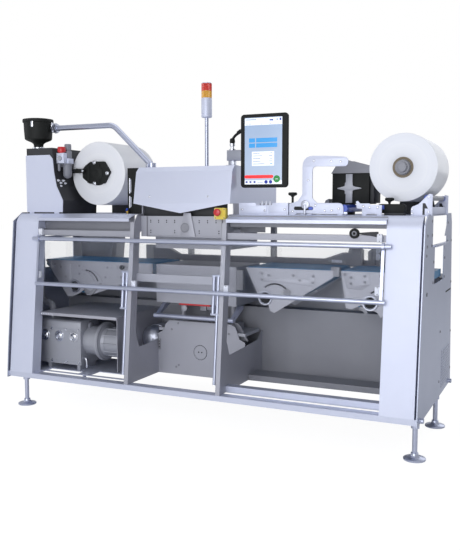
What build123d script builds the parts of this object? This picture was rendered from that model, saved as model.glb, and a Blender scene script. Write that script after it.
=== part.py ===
from build123d import *
import os
from math import cos, tan, radians

# Tray sealer: an open stainless frame on four feet that carries three belt conveyors, a sealing
# station with an upper and a lower tool, a film reel and a reel for the used film on top.
# Stations run from the left end plate along X, depths from the front rail along Y, heights from
# the floor along Z.

# Frame
length = 2870


def station(x):
    """Station along the machine, written for a length of 2870 and following the real length."""
    return x * length / 2870


depth = 1198
foot_height = 205
rail_height = 35
rail_depth = 70
sheet = 4
end_sheet = 6
lean = 5.8
deck_height = 1352
lip_height = 1324
lip_drop = 20
lip_setback = 10
deck_bevel_depth = 85
deck_depth = 960

# Feet
foot_disc_radius = 62.5
foot_stem_radius = 14.5
foot_disc_thickness = 12
foot_stations = (119, length - 21)
foot_depths = (54, 732)

# Pillars and bulkheads
pillar_width = 195
pillar_gap = 13
pillar_return = 90
pillar_head_radius = 88
bulkhead_stations = (station(966), station(1634))
bulkhead_sheet = 6
bulkhead_flange = 30
upright_depth = 75
bulkhead_low_height = 466
bulkhead_rear_height = 545
bulkhead_depth = 700
post_width = 34
post_depth = 40
post_setback = 880

# Tray line
belt_height = 1010
belt_front = 400
belt_width = 400
side_sheet = 5
belt_sheet = 4

# Sealing station
tool_front = 400
tool_depth = 400
tool_station = station(1296)
lower_tool_length = 610
lower_x0 = tool_station - lower_tool_length / 2
lower_x1 = tool_station + lower_tool_length / 2
left_belt = (30, lower_x0 - 31)
middle_belt = (lower_x1 + 84, station(2262))
right_belt = (station(2310), length - 20)
lower_tool_height = 263
tool_bottom = 741
upper_tool_bottom = 1120
upper_tool_front = 200
hood_front = 160
hood_rear = 950
hood_bottom = 1422
hood_shoulder = 1629
hood_top = 1660
chevron_drop = 62

# Guard
guard_pivot_height = 1180
guard_low_height = guard_pivot_height - 310
guard_tube_radius = 14
guard_stations = (230, length - 201)
pane_thickness = 5
guard_bar = 16
guard_play = 0.1

# Reels
film_reel_station = length - 184
film_reel_radius = 199
film_reel_height = 1631
used_reel_station = station(548)
used_reel_radius = 222
used_reel_height = 1634
reel_front = 360
reel_width = 420
core_radius = 60
shaft_radius = 24
journal_gap = 0.3

# Screen and beacon
screen_station = station(1842)
screen_front = 280
screen_width = 316
screen_height = 455
screen_bottom = 1520
screen_thickness = 48
mast_station = station(1335)
mast_depth = 500
mast_radius = 13
beacon_radius = 36
beacon_top = 2230

# Vacuum pump bay
pump_station = 100
pump_front = 200
pump_length = 385
pump_depth = 210
pump_height = 310
pump_base = 281
cover_height = 662
cover_front = 100
cover_stations = (222, station(860))

# The row's frame: the middle of the bounding box is at X = Y = 0
left_extreme = -15
right_extreme = foot_stations[1] + foot_disc_radius
front_extreme = -12
x_shift = -(left_extreme + right_extreme) / 2
y_shift = -(front_extreme + depth) / 2
rail_top = foot_height + rail_height

parts_folder = "parts"
os.makedirs(parts_folder, exist_ok=True)
pieces = []


def facing(y):
    """Upright plane across the machine at depth y, seen from the front."""
    return Plane((x_shift, y_shift + y, 0), x_dir=(1, 0, 0), z_dir=(0, -1, 0))


def side(x):
    """Upright plane along the machine's depth at station x."""
    return Plane((x_shift + x, y_shift, 0), x_dir=(0, 1, 0), z_dir=(1, 0, 0))


def level(z):
    """Level plane at height z."""
    return Plane((x_shift, y_shift, z), x_dir=(1, 0, 0), z_dir=(0, 0, 1))


def front_line(z, inset=0):
    """Depth of the leaning front face at height z."""
    return max(0, z - rail_top) * tan(radians(lean)) + inset


def keep(piece, name):
    piece.part.label = name
    export_step(piece.part, os.path.join(parts_folder, name + ".step"))
    pieces.append(name)


def block(x0, x1, y0, y1, z0, z1):
    """Plain block between stations, depths and heights, added to the part being built."""
    with BuildSketch(level(z0)) as outline:
        with Locations(((x0 + x1) / 2, (y0 + y1) / 2)):
            Rectangle(x1 - x0, y1 - y0)
    extrude(outline.sketch, amount=z1 - z0)


def cut_block(x0, x1, y0, y1, z0, z1):
    with BuildSketch(level(z0)) as outline:
        with Locations(((x0 + x1) / 2, (y0 + y1) / 2)):
            Rectangle(x1 - x0, y1 - y0)
    extrude(outline.sketch, amount=z1 - z0, mode=Mode.SUBTRACT)


def rod_x(x0, x1, y, z, radius, mode=Mode.ADD):
    """Round bar along the machine's length."""
    with BuildSketch(side(x0)) as outline:
        with Locations((y, z)):
            Circle(radius)
    extrude(outline.sketch, amount=x1 - x0, mode=mode)


def rod_y(x, y0, y1, z, radius, mode=Mode.ADD):
    """Round bar along the machine's depth."""
    with BuildSketch(facing(y0)) as outline:
        with Locations((x, z)):
            Circle(radius)
    extrude(outline.sketch, amount=-(y1 - y0), mode=mode)


def rod_z(x, y, z0, z1, radius, mode=Mode.ADD):
    """Upright round bar."""
    with BuildSketch(level(z0)) as outline:
        with Locations((x, y)):
            Circle(radius)
    extrude(outline.sketch, amount=z1 - z0, mode=mode)


def outline_side(x, points, thickness, mode=Mode.ADD):
    """Plate with an outline in depth and height, from station x."""
    with BuildSketch(side(x)) as outline:
        with BuildLine():
            Polyline(points, close=True)
        make_face()
    extrude(outline.sketch, amount=thickness, mode=mode)


def outline_front(y, points, thickness, mode=Mode.ADD):
    """Plate with an outline in station and height, from depth y backwards."""
    with BuildSketch(facing(y)) as outline:
        with BuildLine():
            Polyline(points, close=True)
        make_face()
    extrude(outline.sketch, amount=-thickness, mode=mode)


# Levelling feet: a disc, a cone and a stem each
with BuildPart() as feet:
    for foot_x in foot_stations:
        for foot_y in foot_depths:
            rod_z(foot_x, foot_y, 0, foot_disc_thickness, foot_disc_radius)
            rod_z(foot_x, foot_y, foot_disc_thickness, foot_disc_thickness + 22, foot_stem_radius + 6)
            rod_z(foot_x, foot_y, foot_disc_thickness, foot_height, foot_stem_radius)
keep(feet, "levelling_feet")

# Base frame: front rail, a rail under each end and the inner channel of the right bay
with BuildPart() as base:
    block(end_sheet, length - end_sheet, 0, rail_depth, foot_height, rail_top)
    block(end_sheet, foot_stations[0] + 31, rail_depth, depth - 60, foot_height, rail_top)
    block(foot_stations[1] - 59, length - end_sheet, rail_depth, depth - 60, foot_height, rail_top)
    block(bulkhead_stations[1] + bulkhead_flange, length - 60, 100, 160, rail_top, rail_top + 41)
    block(foot_stations[0], bulkhead_stations[0] + bulkhead_flange - bulkhead_sheet, 100, 640,
          rail_top, rail_top + 5)
    cut_block(station(230), station(520), 120, 180, rail_top - 1, rail_top + 6)
    cut_block(station(620), station(900), 120, 230, rail_top - 1, rail_top + 6)
keep(base, "base_frame")

# Rear rail of the open bays
rear_rail_front = 456
with BuildPart() as rear_rail:
    for rail_x0, rail_x1 in (
        (bulkhead_stations[0] + bulkhead_flange, bulkhead_stations[1] + bulkhead_flange - bulkhead_sheet),
        (bulkhead_stations[1] + bulkhead_flange, length - end_sheet),
    ):
        block(rail_x0, rail_x1, rear_rail_front, 620, rail_top, rail_top + 38)
        cut_block(rail_x0 - 1, rail_x1 + 1, rear_rail_front + 4, 616, rail_top - 1, rail_top + 34)
keep(rear_rail, "rear_rail")

# End plates, each with a tray opening and a step down at the top for the film
end_outline = [
    (front_extreme, foot_height - 7),
    (depth, foot_height - 7),
    (1075, 1300),
    (1040, deck_height + 8),
    (190, deck_height + 8),
    (front_line(1300) - 14, 1300),
    (front_line(400) - 12, 400),
]


def end_plate(x):
    outline_side(x, end_outline, end_sheet)
    cut_block(x - 1, x + end_sheet + 1, 347, 879, 1180, deck_height + 5)
    cut_block(x - 1, x + end_sheet + 1, 425, 775, 945, 1165)


with BuildPart() as left_end:
    end_plate(0)
keep(left_end, "left_end_plate")

with BuildPart() as right_end:
    end_plate(length - end_sheet)
keep(right_end, "right_end_plate")


# Pillar covers: folded sheet with a leaning face, side returns and a rounded head under the deck
def pillar(x):
    knee = 1270
    y_top = front_line(1300) - lip_setback + deck_bevel_depth

    def section(inset, x0, width, mode=Mode.ADD):
        with BuildSketch(side(x0)) as outline:
            with BuildLine():
                Line((front_line(rail_top) + inset, rail_top - inset), (front_line(knee) + inset, knee))
                RadiusArc(
                    (front_line(knee) + inset, knee),
                    (y_top - 5, deck_height - inset),
                    pillar_head_radius,
                )
                Polyline(
                    (y_top - 5, deck_height - inset),
                    (y_top - 0.3 + inset, deck_height - inset),
                    (y_top - 0.3 + inset, 1250),
                    (pillar_return + inset, rail_top - inset),
                    (front_line(rail_top) + inset, rail_top - inset),
                )
            make_face()
        extrude(outline.sketch, amount=width, mode=mode)

    section(0, x, pillar_width)
    section(sheet, x + sheet, pillar_width - 2 * sheet, mode=Mode.SUBTRACT)


with BuildPart() as left_pillar:
    pillar(end_sheet + pillar_gap)
keep(left_pillar, "left_pillar_cover")

with BuildPart() as right_pillar:
    pillar(length - end_sheet - pillar_gap - pillar_width)
keep(right_pillar, "right_pillar_cover")


# Bulkheads: a low plate, an upright with a front flange and a wide head beside the station
def bulkhead(x):
    plate_x = x + bulkhead_flange - bulkhead_sheet
    head = hood_bottom
    outline = [
        (front_line(rail_top) + 8, rail_top),
        (bulkhead_depth, rail_top),
        (bulkhead_depth, bulkhead_rear_height),
        (620, 490),
        (400, 475),
        (front_line(bulkhead_low_height) + upright_depth + 60, bulkhead_low_height),
        (front_line(560) + upright_depth + 8, 560),
        (front_line(1230) + upright_depth + 8, 1230),
        (front_line(1230) + upright_depth + 110, 1290),
        (post_setback, 1290),
        (post_setback, head),
        (hood_front + 60, head),
        (hood_front + 60, head - chevron_drop - 6),
        (hood_front + 4, head - chevron_drop - 6),
        (front_line(1300) + 8, 1300),
    ]
    outline_side(plate_x, outline, bulkhead_sheet)
    flange = [
        (front_line(rail_top) + 8, rail_top),
        (front_line(rail_top) + 14, rail_top),
        (front_line(1300) + 14, 1300),
        (front_line(1300) + 8, 1300),
    ]
    outline_side(x, flange, bulkhead_flange)


for count, bulkhead_x in enumerate(bulkhead_stations):
    with BuildPart() as bulkhead_part:
        bulkhead(bulkhead_x)
    keep(bulkhead_part, "bulkhead_" + str(count + 1))


# Decks: bent sheet with a front lip and a bevel up to the flat top
def deck(x0, x1, lip_x0, lip_x1):
    y_lip = front_line(1300) - lip_setback
    y_top = y_lip + deck_bevel_depth
    lip_profile = [
        (y_lip, lip_height - lip_drop),
        (y_lip, lip_height),
        (y_top, deck_height),
        (y_top, deck_height - sheet),
        (y_lip + sheet, lip_height - sheet + 1),
        (y_lip + sheet, lip_height - lip_drop),
    ]
    block(x0, x1, y_top, y_lip + deck_depth, deck_height - sheet, deck_height)
    outline_side(lip_x0, lip_profile, lip_x1 - lip_x0)


with BuildPart() as left_deck:
    deck(end_sheet, bulkhead_stations[0] - 2, end_sheet + pillar_gap + pillar_width, bulkhead_stations[0] - 2)
keep(left_deck, "left_deck")

with BuildPart() as right_deck:
    deck(
        bulkhead_stations[1] + bulkhead_flange + 2,
        length - end_sheet,
        bulkhead_stations[1] + bulkhead_flange + 2,
        length - end_sheet - pillar_gap - pillar_width,
    )
keep(right_deck, "right_deck")

# Channel beams under the front of the decks
with BuildPart() as beams:
    for beam_x0, beam_x1 in (
        (end_sheet + pillar_gap + pillar_width, bulkhead_stations[0] + bulkhead_flange - bulkhead_sheet),
        (bulkhead_stations[1] + bulkhead_flange, length - end_sheet - pillar_gap - pillar_width),
    ):
        block(beam_x0, beam_x1, 125, 170, 1202, 1240)
        cut_block(beam_x0 - 1, beam_x1 + 1, 129, 171, 1206, 1236)
    block(bulkhead_stations[0] + bulkhead_flange, bulkhead_stations[1] + bulkhead_flange - bulkhead_sheet,
          132, 150, 910, 962)
keep(beams, "front_beams")

# Closed sheet cabinet behind the bays, with a step under the back of the conveyors
cabinet_step = belt_front + belt_width + 10
cabinet_low_top = 704
cabinet_top = 950
cabinet_back_top = 1116


def cabinet_profile(wall):
    return [
        (bulkhead_depth + wall, rail_top + wall),
        (depth - 8 - wall, rail_top + wall),
        (cabinet_back_top - wall, cabinet_top - wall),
        (cabinet_step + wall, cabinet_top - wall),
        (cabinet_step + wall, cabinet_low_top - wall),
        (bulkhead_depth + wall, cabinet_low_top - wall),
    ]


with BuildPart() as cabinet:
    outline_side(end_sheet, cabinet_profile(0), length - 2 * end_sheet)
    outline_side(end_sheet + sheet, cabinet_profile(sheet), length - 2 * (end_sheet + sheet), mode=Mode.SUBTRACT)
keep(cabinet, "rear_cabinet")


# Conveyor side plates by outline, with cross members, and belts as closed loops
def conveyor_sides(points):
    for plate_y in (belt_front, belt_front + belt_width - side_sheet):
        outline_front(plate_y, points, side_sheet)
    left_end = points[0][0]
    right_end = points[1][0]
    for lug_x in (left_end + 60, right_end - 110):
        block(lug_x, lug_x + 50, belt_front + belt_width, cabinet_step, belt_height - 80, belt_height - 65)


def roller_in(x, z, radius):
    rod_y(x, belt_front + side_sheet, belt_front + belt_width - side_sheet, z, radius)


def belt_loop(points):
    """Closed belt with an outline in station and height, between the side plates."""
    belt_y0 = belt_front + side_sheet + 3
    belt_y1 = belt_front + belt_width - side_sheet - 3
    with BuildSketch(facing(belt_y0)) as outline:
        with BuildLine():
            Polyline(points, close=True)
        make_face()
        with BuildLine():
            Polyline(points, close=True)
        offset(make_face(mode=Mode.PRIVATE), amount=-belt_sheet, kind=Kind.INTERSECTION, mode=Mode.SUBTRACT)
    extrude(outline.sketch, amount=-(belt_y1 - belt_y0))


top_roller = belt_height - belt_sheet - 18 - journal_gap


def along(belt, share):
    """Station at a share of a conveyor's length."""
    return belt[0] + share * (belt[1] - belt[0])


left_outline = [
    (left_belt[0], belt_height - 4),
    (left_belt[1], belt_height - 4),
    (left_belt[1], 930),
    (along(left_belt, 0.43), 757),
    (along(left_belt, 0.396), 757),
    (along(left_belt, 0.38), 800),
    (along(left_belt, 0.333), 770),
    (along(left_belt, 0.258), 740),
    (along(left_belt, 0.21), 742),
]
middle_outline = [
    (middle_belt[0] - 15, belt_height - 4),
    (middle_belt[1], belt_height - 4),
    (middle_belt[1], 962),
    (along(middle_belt, 0.32), 716),
    (along(middle_belt, 0.27), 730),
    (along(middle_belt, 0.237), 790),
    (along(middle_belt, 0.147), 800),
]
right_outline = [
    (right_belt[0], belt_height - 4),
    (right_belt[1] - 10, belt_height - 4),
    (right_belt[1] - 10, 900),
    (along(right_belt, 0.52), 760),
    (along(right_belt, 0.47), 728),
    (along(right_belt, 0.426), 760),
    (along(right_belt, 0.24), 800),
    (along(right_belt, 0.13), 770),
    (along(right_belt, 0.065), 778),
]


def frame_and_belt(name, outline, belt_points, rollers):
    with BuildPart() as frame_part:
        conveyor_sides(outline)
        for roller_x, roller_z, radius in rollers:
            roller_in(roller_x, roller_z, radius)
    keep(frame_part, name + "_conveyor_frame")
    belts.append(belt_points)


belts = []
frame_and_belt(
    "left",
    left_outline,
    [
        (left_belt[0] + 6, belt_height),
        (left_belt[1] - 4, belt_height),
        (left_belt[1] - 4, belt_height - 50),
        (along(left_belt, 0.44), 775),
        (along(left_belt, 0.28), 775),
        (left_belt[0] + 6, belt_height - 40),
    ],
    ((left_belt[0] + 34, top_roller, 18), (left_belt[1] - 34, top_roller, 18), (along(left_belt, 0.43), 800, 18)),
)
frame_and_belt(
    "middle",
    middle_outline,
    [
        (middle_belt[0], belt_height),
        (middle_belt[1] - 4, belt_height),
        (middle_belt[1] - 4, belt_height - 46),
        (along(middle_belt, 0.307), 745),
        (along(middle_belt, 0.279), 745),
        (middle_belt[0], belt_height - 46),
    ],
    ((middle_belt[0] + 30, top_roller, 18), (middle_belt[1] - 36, top_roller, 18), (along(middle_belt, 0.303), 792, 18)),
)
frame_and_belt(
    "right",
    right_outline,
    [
        (right_belt[0] + 6, belt_height),
        (right_belt[1], belt_height),
        (right_belt[1], belt_height - 46),
        (along(right_belt, 0.48), 780),
        (along(right_belt, 0.11), 790),
        (right_belt[0] + 6, belt_height - 46),
    ],
    ((right_belt[0] + 36, top_roller, 18), (right_belt[1] - 30, top_roller, 18), (along(right_belt, 0.315), 830, 18)),
)

with BuildPart() as belt_part:
    for belt_points in belts:
        belt_loop(belt_points)
keep(belt_part, "conveyor_belts")

# Transfer beam behind the tray line, with a raised drive box at each end
beam_y = belt_front + belt_width + 40
with BuildPart() as transfer:
    outline_front(
        beam_y,
        [
            (station(640), 1000),
            (station(2330), 1000),
            (station(2330), 1090),
            (station(2190), 1090),
            (station(2060), 1045),
            (station(930), 1045),
            (station(800), 1110),
            (station(640), 1110),
        ],
        40,
    )
    for bulkhead_x in bulkhead_stations:
        post_x = bulkhead_x + bulkhead_flange - post_width / 2 + 4
        block(post_x, post_x + post_width, post_setback, post_setback + post_depth, cabinet_top, deck_height - sheet)
keep(transfer, "transfer_beam")

# Sealing station hood: bevelled top, leaning face with a chevron edge, open below
with BuildPart() as hood:
    hood_x0 = bulkhead_stations[0] - 4
    hood_x1 = bulkhead_stations[1] + bulkhead_flange
    hood_profile = [
        (hood_front, hood_bottom - chevron_drop),
        (hood_front, hood_bottom),
        (hood_front + 40, hood_shoulder),
        (hood_front + 75, hood_top),
        (hood_rear, hood_top),
        (hood_rear, hood_bottom),
        (hood_front + 60, hood_bottom),
        (hood_front + 60, hood_bottom - chevron_drop),
    ]
    outline_side(hood_x0, hood_profile, hood_x1 - hood_x0)
    hood_inner = [
        (hood_front + sheet, hood_bottom - chevron_drop - 1),
        (hood_front + sheet, hood_bottom),
        (hood_front + 40 + sheet, hood_shoulder - 2),
        (hood_front + 77, hood_top - sheet),
        (hood_rear - sheet, hood_top - sheet),
        (hood_rear - sheet, hood_bottom - 1),
        (hood_front + 61, hood_bottom - 1),
        (hood_front + 61, hood_bottom - chevron_drop - 1),
    ]
    outline_side(hood_x0 + sheet, hood_inner, hood_x1 - hood_x0 - 2 * sheet, mode=Mode.SUBTRACT)
    chevron_tip = (hood_x0 + hood_x1) / 2
    for edge_x in (hood_x0 - 1, hood_x1 + 1):
        outline_front(
            hood_front - 1,
            [(edge_x, hood_bottom), (chevron_tip, hood_bottom - chevron_drop), (edge_x, hood_bottom - chevron_drop - 2)],
            70,
            mode=Mode.SUBTRACT,
        )
    block(hood_x0 + sheet, bulkhead_stations[0] + bulkhead_flange, hood_front + 70, hood_rear - 10,
          hood_bottom, hood_bottom + sheet)
keep(hood, "station_hood")

# Upper tool: carrier plate in front and the heated box behind it
upper_x0 = tool_station - 285
upper_x1 = tool_station + 285
with BuildPart() as upper_tool:
    block(upper_x0, upper_x1, tool_front - 40, tool_front + tool_depth, upper_tool_bottom, 1250)
    block(upper_x0 + 40, upper_x1 - 40, tool_front, tool_front + tool_depth - 60, 1250, 1340)
    outline_front(
        upper_tool_front,
        [
            (bulkhead_stations[0] + bulkhead_flange, 1205),
            (bulkhead_stations[1] + bulkhead_flange - bulkhead_sheet, 1205),
            (bulkhead_stations[1] + bulkhead_flange - bulkhead_sheet, 1340),
            (bulkhead_stations[0] + bulkhead_flange, 1340),
        ],
        8,
    )
    block(upper_x0 + 60, upper_x0 + 90, upper_tool_front + 8, tool_front - 40, 1215, 1250)
    block(upper_x1 - 90, upper_x1 - 60, upper_tool_front + 8, tool_front - 40, 1215, 1250)
keep(upper_tool, "upper_tool")

# Lower tool box on its lifting frame
with BuildPart() as lower_tool:
    block(lower_x0, lower_x1, tool_front, tool_front + tool_depth, tool_bottom, tool_bottom + lower_tool_height)
    for rod_station in (lower_x0 + 110, lower_x1 - 110):
        rod_z(rod_station, tool_front + 190, 500, tool_bottom, 20)
keep(lower_tool, "lower_tool")

lift_bar_y = 300
lift_bar_z = 664
with BuildPart() as lift_bar:
    rod_x(lower_x0 + 40, lower_x1 + 25, lift_bar_y, lift_bar_z, 14)
    for arm_x in (lower_x0 + 40, lower_x1 - 3):
        outline_side(
            arm_x,
            [
                (lift_bar_y - 14, lift_bar_z - 12),
                (lift_bar_y + 10, lift_bar_z - 12),
                (tool_front + 60, tool_bottom - 20),
                (tool_front + 60, tool_bottom),
                (tool_front + 20, tool_bottom),
            ],
            28,
        )
keep(lift_bar, "lift_bar")

with BuildPart() as red_latch:
    block(lower_x0 + 175, lower_x0 + 410, tool_front + 5, tool_front + 60, tool_bottom - 12, tool_bottom)
keep(red_latch, "tool_latch")

mech_x0 = bulkhead_stations[0] + bulkhead_flange
mech_x1 = bulkhead_stations[1] + bulkhead_flange - bulkhead_sheet

# Lift carrier that guides the rods of the lower tool, with the lift motor beside bulkhead 1
with BuildPart() as lift_carrier:
    block(lower_x0 + 60, lower_x1 - 60, tool_front + 120, tool_front + 260, 560, 600)
    block(mech_x0, mech_x1, 410 + 8, tool_front + 260, 540, 560)
    for rod_station in (lower_x0 + 110, lower_x1 - 110):
        rod_z(rod_station, tool_front + 190, 539, 601, 20 + journal_gap, mode=Mode.SUBTRACT)
    rod_x(mech_x0 - bulkhead_sheet - 130, mech_x0 - bulkhead_sheet, 560, 400, 90)
keep(lift_carrier, "lift_drive")

with BuildPart() as mechanism:
    outline_front(
        410,
        [
            (mech_x0, rail_top),
            (mech_x1, rail_top),
            (mech_x1, 500),
            (mech_x1 - 40, 520),
            (mech_x1 - 70, 600),
            (mech_x1 - 100, 616),
            (mech_x0 + 90, 616),
            (mech_x0 + 60, 590),
            (mech_x0 + 45, 545),
            (mech_x0, 520),
        ],
        8,
    )
keep(mechanism, "mechanism_plate")

# Vacuum pump, its motor, the cover over them and the ribbed hose
with BuildPart() as pump:
    outline_side(
        pump_station,
        [
            (pump_front, pump_base),
            (pump_front + pump_depth, pump_base),
            (pump_front + pump_depth, pump_base + pump_height),
            (pump_front + 40, pump_base + pump_height),
            (pump_front, pump_base + pump_height - 20),
        ],
        pump_length,
    )
    for pump_foot in (pump_station + 90, pump_station + pump_length - 40):
        block(pump_foot, pump_foot + 24, pump_front + 10, pump_front + pump_depth - 10, rail_top + 5, pump_base)
    rod_x(pump_station + pump_length, 600, 330, 445, 105)
    rod_x(600, 625, 330, 445, 135)
    rod_x(625, 800, 330, 445, 95)
keep(pump, "vacuum_pump")

with BuildPart() as pump_cover:
    block(cover_stations[0], cover_stations[1], cover_front, bulkhead_depth, cover_height - sheet, cover_height)
    block(cover_stations[1] - sheet, cover_stations[1], cover_front, bulkhead_depth, 290, cover_height - sheet)
keep(pump_cover, "pump_cover")

hose_radius = 26
hose_x = 70
hose_y = 300
hose_end_x = 170
with BuildPart() as hose:
    with BuildLine(facing(hose_y)):
        FilletPolyline(
            (hose_x, deck_height - sheet),
            (hose_x, 700),
            (hose_end_x, 700),
            (hose_end_x, pump_base + pump_height),
            radius=45,
        )
    with BuildSketch(Plane((x_shift + hose_x, y_shift + hose_y, deck_height - sheet), x_dir=(1, 0, 0), z_dir=(0, 0, -1))):
        Circle(hose_radius)
    sweep()
keep(hose, "vacuum_hose")

# Twin tubes with lugs beside each bulkhead, parallel to the leaning front
with BuildPart() as twin_tubes:
    for bulkhead_x in bulkhead_stations:
        for lug_z in (735, 974):
            block(bulkhead_x - 56, bulkhead_x, front_line(lug_z) + 9, front_line(lug_z) + 32, lug_z - 6, lug_z + 6)
        for tube_x, tube_z0, tube_z1 in ((bulkhead_x - 44, 735, 974), (bulkhead_x - 14, 300, 974)):
            foot_point = (x_shift + tube_x, y_shift + front_line(tube_z0) + 20, tube_z0)
            with BuildSketch(Plane(foot_point, x_dir=(1, 0, 0), z_dir=(0, tan(radians(lean)), 1))) as section:
                Circle(11)
            extrude(section.sketch, amount=(tube_z1 - tube_z0) / cos(radians(lean)))
keep(twin_tubes, "twin_tubes")

# Guard: fixed pivot tube and a clear flap with a handle tube below
pivot_y = front_line(guard_pivot_height) - guard_tube_radius - 0.5
low_y = front_line(guard_low_height) - guard_tube_radius - 6
with BuildPart() as pivot_tube:
    rod_x(guard_stations[0] - 43, guard_stations[1] + 21, pivot_y, guard_pivot_height, guard_tube_radius)
keep(pivot_tube, "guard_pivot_tube")

with BuildPart() as flap_frame:
    rod_x(guard_stations[0], guard_stations[1], low_y, guard_low_height, guard_tube_radius)
    for bar_x in (guard_stations[0], guard_stations[1] - 2 * guard_bar):
        outline_side(
            bar_x,
            [
                (low_y - pane_thickness, guard_low_height),
                (low_y + pane_thickness, guard_low_height),
                (pivot_y + pane_thickness, guard_pivot_height),
                (pivot_y - pane_thickness, guard_pivot_height),
            ],
            guard_bar,
        )
        rod_x(bar_x, bar_x + guard_bar, pivot_y, guard_pivot_height, guard_tube_radius + 8)
        rod_x(bar_x - 1, bar_x + guard_bar + 1, pivot_y, guard_pivot_height, guard_tube_radius + guard_play,
              mode=Mode.SUBTRACT)
keep(flap_frame, "guard_handle_tube")

with BuildPart() as pane:
    outline_side(
        guard_stations[0] + guard_bar,
        [
            (low_y - pane_thickness / 2, guard_low_height + guard_tube_radius),
            (low_y + pane_thickness / 2, guard_low_height + guard_tube_radius),
            (pivot_y + pane_thickness / 2, guard_pivot_height - guard_tube_radius - 4),
            (pivot_y - pane_thickness / 2, guard_pivot_height - guard_tube_radius - 4),
        ],
        guard_stations[1] - guard_stations[0] - 3 * guard_bar,
    )
keep(pane, "guard_pane")

# Switch housings beside the guard
with BuildPart() as switches:
    for switch_x, switch_y, switch_z in (
        (end_sheet + pillar_gap + pillar_width, front_line(1225) + 2, 1225),
        (end_sheet + pillar_gap + pillar_width, front_line(930) + 2, 930),
        (bulkhead_stations[0] + bulkhead_flange, front_line(895) + 2, 895),
        (bulkhead_stations[1] + bulkhead_flange, front_line(895) + 2, 895),
        (length - end_sheet - pillar_gap - pillar_width - 30, front_line(1225) + 2, 1225),
        (length - end_sheet - pillar_gap - pillar_width - 30, front_line(930) + 2, 930),
    ):
        block(switch_x, switch_x + 30, switch_y, switch_y + 22, switch_z - 24, switch_z + 24)
keep(switches, "guard_switches")

# Side cover and the dark box behind it that carries the filter and the air unit
side_cover_front = 200
cover_edge = [(352, 1362), (356, 1445), (304, 1545), (285, 1640), (275, 1735), (250, 1763)]
with BuildPart() as side_cover:
    outline_front(side_cover_front, [(38, 1362)] + cover_edge + [(38, 1763)], sheet)
    for tab_x in (60, 280):
        block(tab_x, tab_x + 40, side_cover_front, side_cover_front + sheet, deck_height, 1362)
keep(side_cover, "side_cover")

with BuildPart() as filter_box:
    outline_front(
        side_cover_front + sheet,
        [(44, deck_height), (350, deck_height)] + cover_edge[:5] + [(270, 1812), (44, 1812)],
        400,
    )
keep(filter_box, "filter_cabinet")

# Stands of both reels
reel_back = reel_front + reel_width + 20
with BuildPart() as reel_stand:
    outline_front(
        reel_back,
        [(used_reel_station - 188, deck_height), (used_reel_station + 152, deck_height),
         (used_reel_station + 72, used_reel_height + 60), (used_reel_station - 68, used_reel_height + 60),
         (used_reel_station - 188, 1500)],
        28,
    )
    block(station(800), station(905), 345, 353, deck_height, 1665)
    outline_front(
        reel_back,
        [
            (film_reel_station - 120, deck_height),
            (film_reel_station + 120, deck_height),
            (film_reel_station + 60, film_reel_height + 60),
            (film_reel_station - 60, film_reel_height + 60),
        ],
        28,
    )
keep(reel_stand, "reel_stands")

with BuildPart() as used_reel:
    rod_y(used_reel_station, reel_front, reel_front + reel_width, used_reel_height, used_reel_radius)
    rod_y(used_reel_station, reel_front + reel_width, reel_back - journal_gap, used_reel_height, shaft_radius)
keep(used_reel, "used_film_reel")

with BuildPart() as hub:
    outline_front(
        reel_front - 30,
        [
            (used_reel_station + hub_x, used_reel_height + hub_z)
            for hub_x, hub_z in ((-78, -34), (-78, 46), (-8, 82), (42, 82), (112, 0), (42, -82), (-8, -82))
        ],
        30,
    )
keep(hub, "reel_hub")

# Canister, its neck and the suction pipe to the station
canister_x = 110
canister_y = 330
pipe_end = bulkhead_stations[0] + 40
with BuildPart() as canister:
    rod_z(canister_x, canister_y, 1885, 2028, 125)
    rod_z(canister_x, canister_y, 1812, 1885, 40)
keep(canister, "filter_canister")

with BuildPart() as suction_pipe:
    with BuildLine(facing(canister_y)):
        FilletPolyline((canister_x + 125, 1960), (station(700), 1960), (pipe_end, hood_top + 16), radius=90)
    with BuildSketch(Plane((x_shift + canister_x + 125, y_shift + canister_y, 1960), x_dir=(0, 1, 0), z_dir=(1, 0, 0))):
        Circle(19)
    sweep()
    rod_z(pipe_end, canister_y, hood_top, hood_top + 34, 27)
keep(suction_pipe, "suction_pipe")

with BuildPart() as air_unit:
    for unit_y, unit_z0, unit_z1, unit_r in ((245, 1640, 1775, 20), (305, 1600, 1800, 22)):
        rod_z(318, unit_y, unit_z0, unit_z1, unit_r)
    block(280, 318, 240, 310, 1690, 1730)
keep(air_unit, "air_service_unit")

# Beacon on its mast
with BuildPart() as beacon:
    rod_z(mast_station, mast_depth, hood_top, 2000, mast_radius)
    rod_z(mast_station, mast_depth, 2000, beacon_top, beacon_radius)
keep(beacon, "beacon")

# Screen arm and screen
with BuildPart() as arm:
    block(screen_station - 312, screen_station + 30, 400, 450, 1700, 1768)
    block(screen_station - 302, screen_station - 272, 405, 445, hood_top, 1700)
    block(screen_station - 30, screen_station + 30, screen_front + screen_thickness + 30, 400, 1710, 1760)
    rod_z(screen_station, screen_front + screen_thickness + 30, 1700, 1770, 16)
keep(arm, "screen_arm")

with BuildPart() as screen:
    with BuildSketch(facing(screen_front)):
        with Locations((screen_station, screen_bottom + screen_height / 2)):
            RectangleRounded(screen_width, screen_height, 22)
    extrude(amount=-screen_thickness)
    for clevis_z in (1700 - journal_gap - 13, 1770 + journal_gap):
        block(screen_station - 20, screen_station + 20, screen_front + screen_thickness,
              screen_front + screen_thickness + 50, clevis_z, clevis_z + 13)
keep(screen, "screen")

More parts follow.
